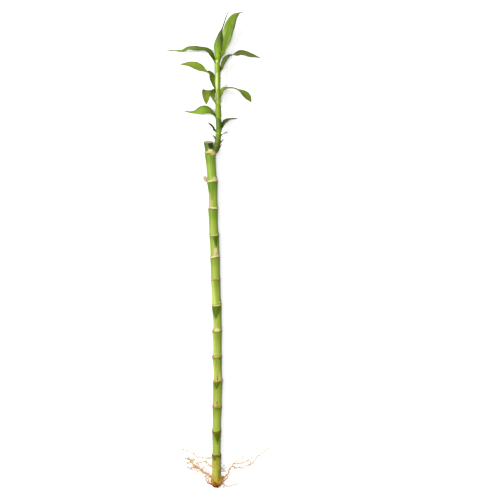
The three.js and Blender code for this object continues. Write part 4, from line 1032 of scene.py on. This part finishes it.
def leaf_fields(leaf, distance, mouth, length, share, width, facing):
    """The numbers that the colour follows, for both faces. `facing` is how far the skin faces
    right, so that a sheath gets painted shade on its right and a painted highlight on its left."""
    *along_faces, slope, on_sheath, painted_highlight, olive, painted_light_amount = LEAF_TONES[leaf["name"]]
    flat = np.zeros(facing.shape)
    blade_share = np.clip((distance - mouth) / (length - mouth), 0, 1)
    sheath = 1 - smoothstep((distance - mouth + 1) / 4)[:, None]
    upper = np.interp(blade_share, [0, 0.5, 1], along_faces[:3])[:, None]
    under = np.interp(blade_share, [0, 0.5, 1], along_faces[3:])[:, None]
    across = np.concatenate([share, share[:, ::-1]], axis=1)
    blade = np.concatenate([under + 0 * share, upper + 0 * share], axis=1) + slope * across
    # painted light: a pale wash above the blade's foot, stronger where `across` is negative
    painted_light_patch = painted_light_amount * (1 - smoothstep((blade_share - 0.35) / 0.4))[:, None] * (0.7 - 0.5 * across)
    return {
        # painted shade: a sheath darker where its skin faces right
        "tone": mix(blade, on_sheath + 0.12 * facing, sheath),
        # painted highlight: a pale strip where a sheath faces left, and the painted light wash on
        # the blade
        "pale": mix(painted_light_patch, painted_highlight * (1 - smoothstep((facing + 0.15) / 0.4)), sheath),
        "olive": flat + olive * (1 - 0.5 * sheath),
        "across": flat + across,
        "along": flat + distance[:, None] - mouth,
        "sheath": flat + sheath,
        "dry": flat + (1 - smoothstep((width - 0.5) / 1.6)[:, None]) * (1 - sheath),
    }


print("points across a leaf:", LEAF_COLUMNS + 1, "on each face")

# %% Growing every leaf
sheath_from = 0.0
for leaf in LEAVES:
    leaf.setdefault("from", sheath_from - CLASP)
    sheath_from = leaf["to"]
    rings, *measures = leaf_skin(leaf)
    if "scale" in leaf["name"]:
        slot, material = "dry_scale", dry_scale
    elif "twisted" in leaf["name"]:
        slot, material = "pale_leaf", pale_leaf
    else:
        slot, material = "green_leaf", green_leaf
    add_piece(f"{leaf['name']}_skin", rings.reshape(-1, 3), strap_faces(*rings.shape[:2]),
              material, [leaf["name"]], leaf_fields(leaf, *measures))

no_veins = np.zeros_like(stem_distance)
stem_numbers = {"tone": 0.55 + 0.3 * np.exp(-stem_distance / 6), "across": no_veins,
                "along": stem_distance, "olive": 0.5 * np.exp(-stem_distance / 4),
                "pale": no_veins, "sheath": no_veins, "dry": 0.8 * np.exp(-stem_distance / 2.5)}
add_piece("shoot_stem_skin", stem_points, stem_faces, stem_green, ["shoot_stem"],
          stem_numbers)

# %% [markdown]
# A rag of dry sheath still stands off the cane at one ring. It is a short curled strap, so it is
# made as a leaf without a sheath of its own.

# %% The rag of dry sheath
RAG_ROWS = [
    [-11.2, 85.8, 9.2, 4.5, 110, 15], [-13.2, 88.0, 9.4, 5.4, 110, 15],
    [-15.0, 90.2, 9.6, 5.4, 105, 15], [-16.6, 92.0, 9.8, 4.0, 80, 20],
]
RAG_HALF_THICKNESS = 0.25
TORN = 1.1  # how far the torn end's points stand out, in mm


def rag_skin():
    """The leaf's arc sections on a short run, with a torn end."""
    run = smooth_run(RAG_ROWS)
    distance = np.linspace(0, run[1][-1], 24)
    x, y, z, width, wrap, roll = read_run(run, distance).T
    travel = run_direction(run, distance)
    wide, under = rolled_axes(travel, (0, 0, 1), roll)
    share = np.linspace(-1, 1, 17)[None, :]
    torn = TORN * np.sin(9 * share + 1) * (distance / distance[-1])[:, None] ** 3
    spine = np.stack([x, y, z], axis=1)[:, None] + travel[:, None] * torn[..., None]
    sheet, normal = arc_sections(spine, wide, under, width, np.radians(wrap), share)
    return two_faces(sheet, normal, RAG_HALF_THICKNESS)


def dry_sheath_finish():
    board = Board("dry_sheath")
    fibres = board.grain(700, 5, (1, 0.3, 1))
    speck = board.grain(2200, 4)
    light = board.edge(fibres + (speck - 0.5) * 0.5, 0.35, 0.68)
    colour = board.blend(light, paint(176, 142, 80), paint(240, 226, 172))
    return board.finish(colour, 0.7 + speck * 0.2, fibres + speck * 0.5, 0.0003)


rag_rings = rag_skin()
add_piece("sheath_rag_skin", rag_rings.reshape(-1, 3), strap_faces(*rag_rings.shape[:2]),
          dry_sheath_finish(), ["cane"], {})

# %% [markdown]
# ## Roots
# Water roots are orange, tough and wiry. The main ones follow measured points, with a wriggle
# that a random sum of sines adds sideways. Dozens of fine side roots leave them, drawn from a
# seed, each a thin tube of a few dozen faces.

# %% The main roots, as measured
ROOTS = {
    "root_01_left_long": [
        [[-4.2, -285.4, 5.6, 0.7], [-7.1, -284.4, 4.6, 0.7], [-9.8, -282.6, 3.6, 0.7],
         [-12.5, -280.1, 2.4, 0.67], [-18.9, -277.4, 1.4, 0.65], [-22.9, -273.8, 1.0, 0.63],
         [-27.6, -271.8, 0.9, 0.58], [-31.3, -268.5, 0.8, 0.52]],
        [[-31.3, -268.5, 0.8, 0.52], [-34.0, -263.5, 1.6, 0.43], [-37.2, -258.6, 2.6, 0.34]],
        [[-27.6, -271.8, 0.9, 0.52], [-33.0, -273.3, 0.6, 0.4], [-38.5, -272.6, 0.5, 0.31]],
    ],
    "root_02_left_upper": [
        [[-4.8, -259.6, 4.4, 0.47], [-7.2, -259.8, 3.4, 0.47], [-12.5, -260.6, 1.6, 0.45],
         [-20.5, -260.1, 0.7, 0.43], [-26.9, -258.2, 0.6, 0.43], [-30.8, -255.0, 0.6, 0.4],
         [-33.3, -253.3, 0.6, 0.38], [-42.0, -250.2, 0.5, 0.34], [-46.8, -247.8, 0.5, 0.29]],
    ],
    "root_03_left_loop": [
        [[-4.6, -272.4, 4.4, 0.47], [-6.8, -271.4, 3.6, 0.47], [-10.5, -268.4, 2.0, 0.45],
         [-13.8, -266.4, 0.9, 0.43], [-18.0, -265.2, 0.7, 0.4], [-22.9, -266.1, 0.6, 0.38],
         [-25.4, -267.2, 0.6, 0.34]],
    ],
    "root_04_right_long": [
        [[3.0, -285.4, 4.8, 0.74], [5.8, -284.9, 3.9, 0.74], [9.1, -283.9, 3.0, 0.72],
         [12.3, -280.9, 2.2, 0.67], [14.2, -276.3, 1.4, 0.63], [18.0, -271.4, 1.0, 0.58],
         [25.1, -272.5, 0.7, 0.45], [29.9, -273.4, 0.6, 0.43], [35.5, -271.4, 0.6, 0.43],
         [41.2, -268.1, 0.6, 0.43], [45.9, -265.4, 0.6, 0.4], [48.3, -261.4, 0.6, 0.4],
         [49.9, -258.2, 0.6, 0.38], [55.4, -255.0, 0.6, 0.36], [61.1, -250.2, 0.5, 0.34],
         [65.4, -246.2, 0.5, 0.29]],
        [[18.0, -271.4, 1.0, 0.56], [19.8, -267.9, 1.2, 0.47], [25.1, -267.4, 1.2, 0.4],
         [31.5, -266.6, 0.8, 0.38], [37.1, -264.2, 0.6, 0.34], [43.5, -260.2, 0.5, 0.29]],
        [[19.8, -267.9, 1.2, 0.47], [23.0, -264.4, 2.6, 0.38], [28.4, -262.6, 3.0, 0.36],
         [33.1, -257.3, 2.2, 0.29]],
    ],
    "root_05_right_small": [
        [[4.6, -272.6, 4.4, 0.42], [6.4, -274.0, 3.0, 0.4], [8.4, -275.6, 1.8, 0.38],
         [10.2, -276.8, 1.0, 0.34]],
        [[4.4, -276.9, 2.6, 0.36], [7.2, -277.2, 1.4, 0.34], [9.6, -277.0, 1.0, 0.34],
         [12.4, -276.9, 1.0, 0.31]],
    ],
    "root_06_foot_right": [
        [[4.0, -292.8, 2.0, 0.5], [7.4, -293.4, 0.9, 0.47], [12.3, -295.6, 0.7, 0.45],
         [17.1, -295.7, 0.6, 0.43], [19.5, -294.1, 0.6, 0.4], [25.1, -292.9, 0.5, 0.36],
         [29.1, -291.3, 0.5, 0.29]],
    ],
}
SIDE_ROOTS = {"root_01_left_long": 96, "root_02_left_upper": 20, "root_03_left_loop": 24,
              "root_04_right_long": 40, "root_05_right_small": 3, "root_06_foot_right": 10}
dice = np.random.default_rng(12)
print("side roots on the first strands:", sum(SIDE_ROOTS.values()))


# %% [markdown]
# The finish is one for thick and thin roots: `age` is 1 at the cane and 0 at a fine end, and the
# colour goes from brown over orange to a pale tan with it.

# %% The roots' finish
def root_finish(name, old, middle, young):
    board = Board(name)
    age = board.field("age")
    lumps = board.grain(260, 4) - 0.5
    fibre = board.grain(1800, 4) - 0.5
    turned = age + lumps * 1.0 + fibre * 0.5
    colour = board.blend(board.edge(turned, 0.0, 0.5), young, middle)
    colour = board.blend(board.edge(turned, 0.55, 1.1), colour, old)
    colour = board.blend(board.edge(fibre, 0.12, 0.3) * 0.35, colour, young)
    height = lumps * 0.5 + fibre * 1.2
    return board.finish(colour, 0.52 + fibre * 0.3, height, 0.0002, specular=0.25)


root_orange = root_finish("root_orange", paint(212, 132, 32), paint(246, 182, 84),
                          paint(240, 210, 162))
root_brown = root_finish("root_brown", paint(92, 40, 2), paint(238, 146, 20),
                         paint(255, 214, 106))

# %% Main strands and side roots
STRAND_SIDES = 14
STRAND_STEP = 0.7
THINNEST = 0.36
WRIGGLE = 0.55
WAVE_LENGTHS = [5.3, 9.1, 17.0]
FLATTENED = [0.5, 0.5, 0.12]  # how much of a wave goes into x, y and z
SIDE_STATIONS = 8
SIDE_SIDES = 4
SHORTEST, LONGEST, SIDE_RADIUS = 3, 17, 0.22
DROOP = 0.35
BOX_MARGIN = 0.4


def wriggled(path, reach):
    """Sideways waves that start from nothing: a sum of three sines of distance, at random phase,
    in x and y, with a little of it in z."""
    phases = dice.uniform(0, 2 * np.pi, (3, 3))
    lengths = np.array(WAVE_LENGTHS)[:, None, None]
    waves = np.sin(2 * np.pi * reach[None, :, None] / lengths + phases[:, None])
    grown = smoothstep(reach / 8)[:, None] * WRIGGLE
    return path + waves.sum(axis=0) * grown * np.array(FLATTENED)


def main_strand(rows):
    """A tube of slowly varying radius along a wriggled smooth run."""
    run = smooth_run(rows)
    reach = np.linspace(0, run[1][-1], int(run[1][-1] / STRAND_STEP) + 4)
    path = read_run(run, reach)
    radius = path[:, 3] * (1 + 0.2 * np.sin(reach / 0.9 + rows[0][0]) * np.sin(reach / 3.7))
    radius = radius * (1 - smoothstep((reach - reach[-1] + 3) / 3.5) * 0.5)
    radius = np.maximum(radius, THINNEST)
    spine = wriggled(path[:, :3], reach)
    spine[:, 2] = np.maximum(spine[:, 2], radius)
    return spine, radius


def side_roots(spine, count):
    """Thin tubes that leave a spine sideways: start + aim s + bow s^2 with a late wave, for
    s from 0 to the length, drooping to the table."""
    at = dice.integers(int(len(spine) * 0.12), len(spine) - 2, count)
    start = spine[at]
    travel = unit(np.gradient(spine, axis=0))[at]
    sideways = np.stack([-travel[:, 1], travel[:, 0], 0 * travel[:, 0]], axis=1)
    sense = dice.choice([-1.0, 1.0], (count, 1))
    aim = unit(sideways * sense + travel * dice.uniform(-0.2, 1.3, (count, 1)))
    aim[:, 2] += dice.uniform(0.0, 0.5, count)
    length = dice.uniform(SHORTEST, LONGEST, count) * dice.uniform(0.4, 1.0, count)
    s = np.linspace(0, 1, SIDE_STATIONS)[None, :, None]
    bow = dice.normal(0, 0.45, (count, 1, 3)) * [1, 1, 0.3]
    wave = np.sin(s * dice.uniform(4, 9, (count, 1, 1))) * dice.normal(0, 0.12, (count, 1, 3))
    path = start[:, None] + length[:, None, None] * (aim[:, None] * s + bow * s**2 + wave * s)
    path[..., 2] -= (length[:, None] * DROOP) * s[..., 0] ** 2
    thickness = SIDE_RADIUS * dice.uniform(0.6, 1.2, (count, 1)) * (1 - 0.7 * s[..., 0])
    path[..., 2] = np.maximum(path[..., 2], thickness)
    return path, thickness


def keep_inside(path):
    """Holds a path a little within the CAD model's box."""
    low, high = np.array(cad_low) / MM + BOX_MARGIN, np.array(cad_high) / MM - BOX_MARGIN
    return np.clip(path, [low[0], low[1], 0], high)


for name, strands in ROOTS.items():
    parts, ages = [], []
    for place, rows in enumerate(strands):
        spine, radius = main_strand(rows)
        parts.append(tubes(keep_inside(spine)[None], radius[None], STRAND_SIDES))
        ages.append(spread_over_tubes(smoothstep((radius - 0.25) / 0.6)[None], STRAND_SIDES))
        count = SIDE_ROOTS[name] // (1 + 2 * place)
        paths, thickness = side_roots(spine, count)
        parts.append(tubes(keep_inside(paths), thickness, SIDE_SIDES))
        ages.append(spread_over_tubes(thickness, SIDE_SIDES))
    points, faces = join(parts)
    add_piece(f"{name}_skin", points, faces, root_orange, [name],
              {"age": np.concatenate(ages)})

# %% [markdown]
# ## The crown
# All roots come out of a callus on the cane's cut foot. Thick short ones curl round it, finer
# ones climb the cane, and a tangle of fibres fills the rest. Their paths are spirals round the
# cane: an angle, a distance from its middle and a place along it, each a smooth function of the
# share of the way.

# %% The crown of the roots
CROWN_MIDDLE = np.array([-0.9, -293.4, 5.3])
CALLUS_PROFILE = [  # share of its radius, share of its half length
    [0.02, -1], [0.35, -0.95], [0.66, -0.6], [0.92, 0], [1, 0.6], [0.85, 1], [0.05, 1],
]
CALLUS_RADIUS, CALLUS_HALF_LENGTH, CALLUS_SHIFT = 4.3, 3.3, -0.4
CALLUS_SIDES = 48
CALLUS_AGE = 0.85
CROWN_LAYERS = [  # strands, radius, stand off, spread, longest, stations, sides
    [12, 0.6, 5.6, 1.2, 8, 26, 8],
    [24, 0.34, 5.8, 2.0, 10, 20, 6],
    [44, 0.16, 6.0, 2.8, 11, 10, 4],
]
CURLS = [
    [[-4.0, -294.6, 4.0, 0.75], [-7.7, -293.4, 3.0, 0.7], [-12.2, -291.4, 2.4, 0.6],
     [-14.4, -287.4, 2.4, 0.5], [-14.6, -284.4, 3.0, 0.45], [-13.6, -281.4, 3.6, 0.4]],
    [[-5.6, -293.0, 6.4, 0.6], [-9.0, -291.2, 6.0, 0.5], [-11.6, -288.0, 5.4, 0.45],
     [-10.6, -284.8, 5.6, 0.42], [-7.6, -282.6, 6.4, 0.38]],
    [[2.4, -295.0, 5.0, 0.75], [6.2, -291.6, 5.0, 0.7], [7.2, -287.6, 4.6, 0.55],
     [5.6, -284.4, 5.4, 0.45], [4.6, -281.8, 7.6, 0.38]],
    [[3.4, -292.4, 8.6, 0.5], [4.4, -288.0, 8.8, 0.45], [4.2, -283.6, 9.0, 0.38],
     [3.2, -279.4, 9.8, 0.25]],
    [[-6.0, -290.6, 9.0, 0.55], [-5.4, -287.4, 9.3, 0.45], [-4.8, -284.4, 9.6, 0.4],
     [-4.4, -281.6, 9.9, 0.25]],
    [[6.6, -290.8, 1.6, 0.55], [9.8, -288.4, 1.2, 0.5], [12.0, -285.8, 1.2, 0.4],
     [13.0, -282.6, 1.0, 0.3]],
    [[5.0, -288.0, 5.0, 0.6], [8.4, -285.8, 3.6, 0.5], [10.6, -283.0, 2.4, 0.42],
     [11.4, -279.6, 1.6, 0.36]],
]


def callus_skin():
    """A lathe-turned knob along the cane with lumps of a few tenths of a millimetre."""
    profile = np.array(CALLUS_PROFILE)
    share = np.linspace(0, len(profile) - 1, 40)
    out, along = (np.interp(share, np.arange(len(profile)), column) for column in profile.T)
    out, along = out * CALLUS_RADIUS, along * CALLUS_HALF_LENGTH + CALLUS_SHIFT
    turn = np.arange(CALLUS_SIDES) * 2 * np.pi / CALLUS_SIDES - np.pi / 2
    lumps = 0.25 * np.sin(5 * turn + along[:, None]) * np.sin(1.7 * along[:, None] + 2 * turn)
    reach = np.maximum(out[:, None] + lumps * (out[:, None] > 1), 0.05)
    return close_grid(np.stack([
        CROWN_MIDDLE[0] + reach * np.cos(turn),
        CROWN_MIDDLE[1] + along[:, None] + 0 * turn,
        np.maximum(0, CROWN_MIDDLE[2] + reach * np.sin(turn)),
    ], axis=-1))


def crown_strands(count, thick, stand_off, spread, longest, stations):
    """Spirals from the callus: angle(s), distance(s) and place along(s) for s from 0 to 1, with
    a radius and an age at each station."""
    s = np.linspace(0, 1, stations)[None, :]
    angle = dice.uniform(-28, 208, (count, 1))
    twist = dice.uniform(25, 100, (count, 1)) * dice.choice([-1.0, 1.0], (count, 1))
    topness = 1 - 0.5 * np.maximum(0, np.sin(np.radians(angle)))
    reach = longest * topness * dice.uniform(0.15, 1.0, (count, 1))
    waver = 8 * np.sin(s * dice.uniform(3, 8, (count, 1)) + dice.uniform(0, 6, (count, 1)))
    turn = np.radians(np.clip(angle + twist * s + waver * s, -30, 210))
    rooted = 1 - np.exp(-s * 4.5)
    distance = mix(1.2, stand_off + spread * dice.uniform(0, 1, (count, 1)) * (0.3 + s), rooted)
    along = (reach + 5.2) * s**1.1 - 2.4 + dice.uniform(-0.9, 0.6, (count, 1))
    round_cane = [distance * np.cos(turn), along + 0 * distance, distance * np.sin(turn)]
    radius = thick * dice.uniform(0.75, 1.15, (count, 1)) * (1 - 0.6 * s**2)
    path = np.stack(round_cane, axis=-1) + CROWN_MIDDLE - [1.0, 0, 0] * (1 - rooted[..., None])
    path[..., 2] = np.maximum(path[..., 2], radius)
    age = 1.0 - (along + 1) / 7 + dice.uniform(-0.45, 0.45, (count, 1))
    return keep_inside(path), radius, age


crown_parts = [callus_skin()]
crown_ages = [np.full(len(crown_parts[0][0]), CALLUS_AGE)]
for *layer, sides in CROWN_LAYERS:
    paths, radius, age = crown_strands(*layer)
    crown_parts.append(tubes(paths, radius, sides))
    crown_ages.append(spread_over_tubes(age, sides))
for place, rows in enumerate(CURLS):
    spine, radius = main_strand(rows)
    crown_parts.append(tubes(keep_inside(spine)[None], radius[None], STRAND_SIDES))
    age = np.linspace(1.0 - 0.12 * place, 0.3, len(radius))
    crown_ages.append(spread_over_tubes(age[None], STRAND_SIDES))
crown_points, crown_faces = join(crown_parts)
add_piece("root_crown_skin", crown_points, crown_faces, root_brown, ["root_crown"],
          {"age": np.concatenate(crown_ages)})

# %% [markdown]
# ## Floor, light and camera
# The plant lies on a white table, under soft light from the upper left. The camera hangs straight
# above it, as far away as a long lens would be. The floor is lit almost to pure white.

# %% Floor
FLOOR_HALF, FLOOR_DROP = 3.0, 0.0002
FLOOR_GREYS = [(0.71, 0.71, 0.71, 1), (0.74, 0.74, 0.74, 1)]


def floor_finish():
    board = Board("white_table")
    tint = board.blend(board.edge(board.grain(3, 2), 0.3, 0.7), *FLOOR_GREYS)
    return board.finish(tint, 0.85, board.grain(900, 2), 0.00002, specular=0.1)


floor_mesh = bpy.data.meshes.new("table_top")
corners = [[-FLOOR_HALF, -FLOOR_HALF, 0], [FLOOR_HALF, -FLOOR_HALF, 0],
           [FLOOR_HALF, FLOOR_HALF, 0], [-FLOOR_HALF, FLOOR_HALF, 0]]
floor_mesh.from_pydata((np.array(corners) - [0, 0, FLOOR_DROP]).tolist(), [], [[0, 1, 2, 3]])
floor_mesh.materials.append(floor_finish())
floor = bpy.data.objects.new("table_top", floor_mesh)
bpy.context.scene.collection.objects.link(floor)

# %% Light
def soft_light(name, place, size, watts):
    """A square area light that faces the plant's middle."""
    data = bpy.data.lights.new(name, "AREA")
    data.shape, data.size, data.energy = "SQUARE", size, watts
    lamp = bpy.data.objects.new(name, data)
    lamp.location = place
    lamp.rotation_mode = "QUATERNION"
    lamp.rotation_quaternion = (-lamp.location).to_track_quat("-Z", "Y")
    bpy.context.scene.collection.objects.link(lamp)
    return lamp


soft_light("key_upper_left", (-1.0, 0.35, 1.2), 0.7, 36.0)
overhead = soft_light("overhead", (0.04, 0.0, 2.3), 1.1, 68.0)
overhead.visible_glossy = False  # it lights, but leaves the gloss to the key light
world = bpy.data.worlds.new("studio")
world.use_nodes = True
sky = world.node_tree.nodes["Background"]
sky.inputs["Color"].default_value, sky.inputs["Strength"].default_value = (1, 1, 1, 1), 0.12
bpy.context.scene.world = world
bpy.context.scene.view_settings.view_transform = "Standard"

# %% Camera
camera_data = bpy.data.cameras.new("overhead")
camera_data.lens, camera_data.sensor_width = 100.0, 36.0
camera = bpy.data.objects.new("overhead", camera_data)
camera.location = (0.0409, 0.00025, 1.743)
bpy.context.scene.collection.objects.link(camera)
bpy.context.scene.camera = camera
print("camera, m above the table:", camera.location.z)
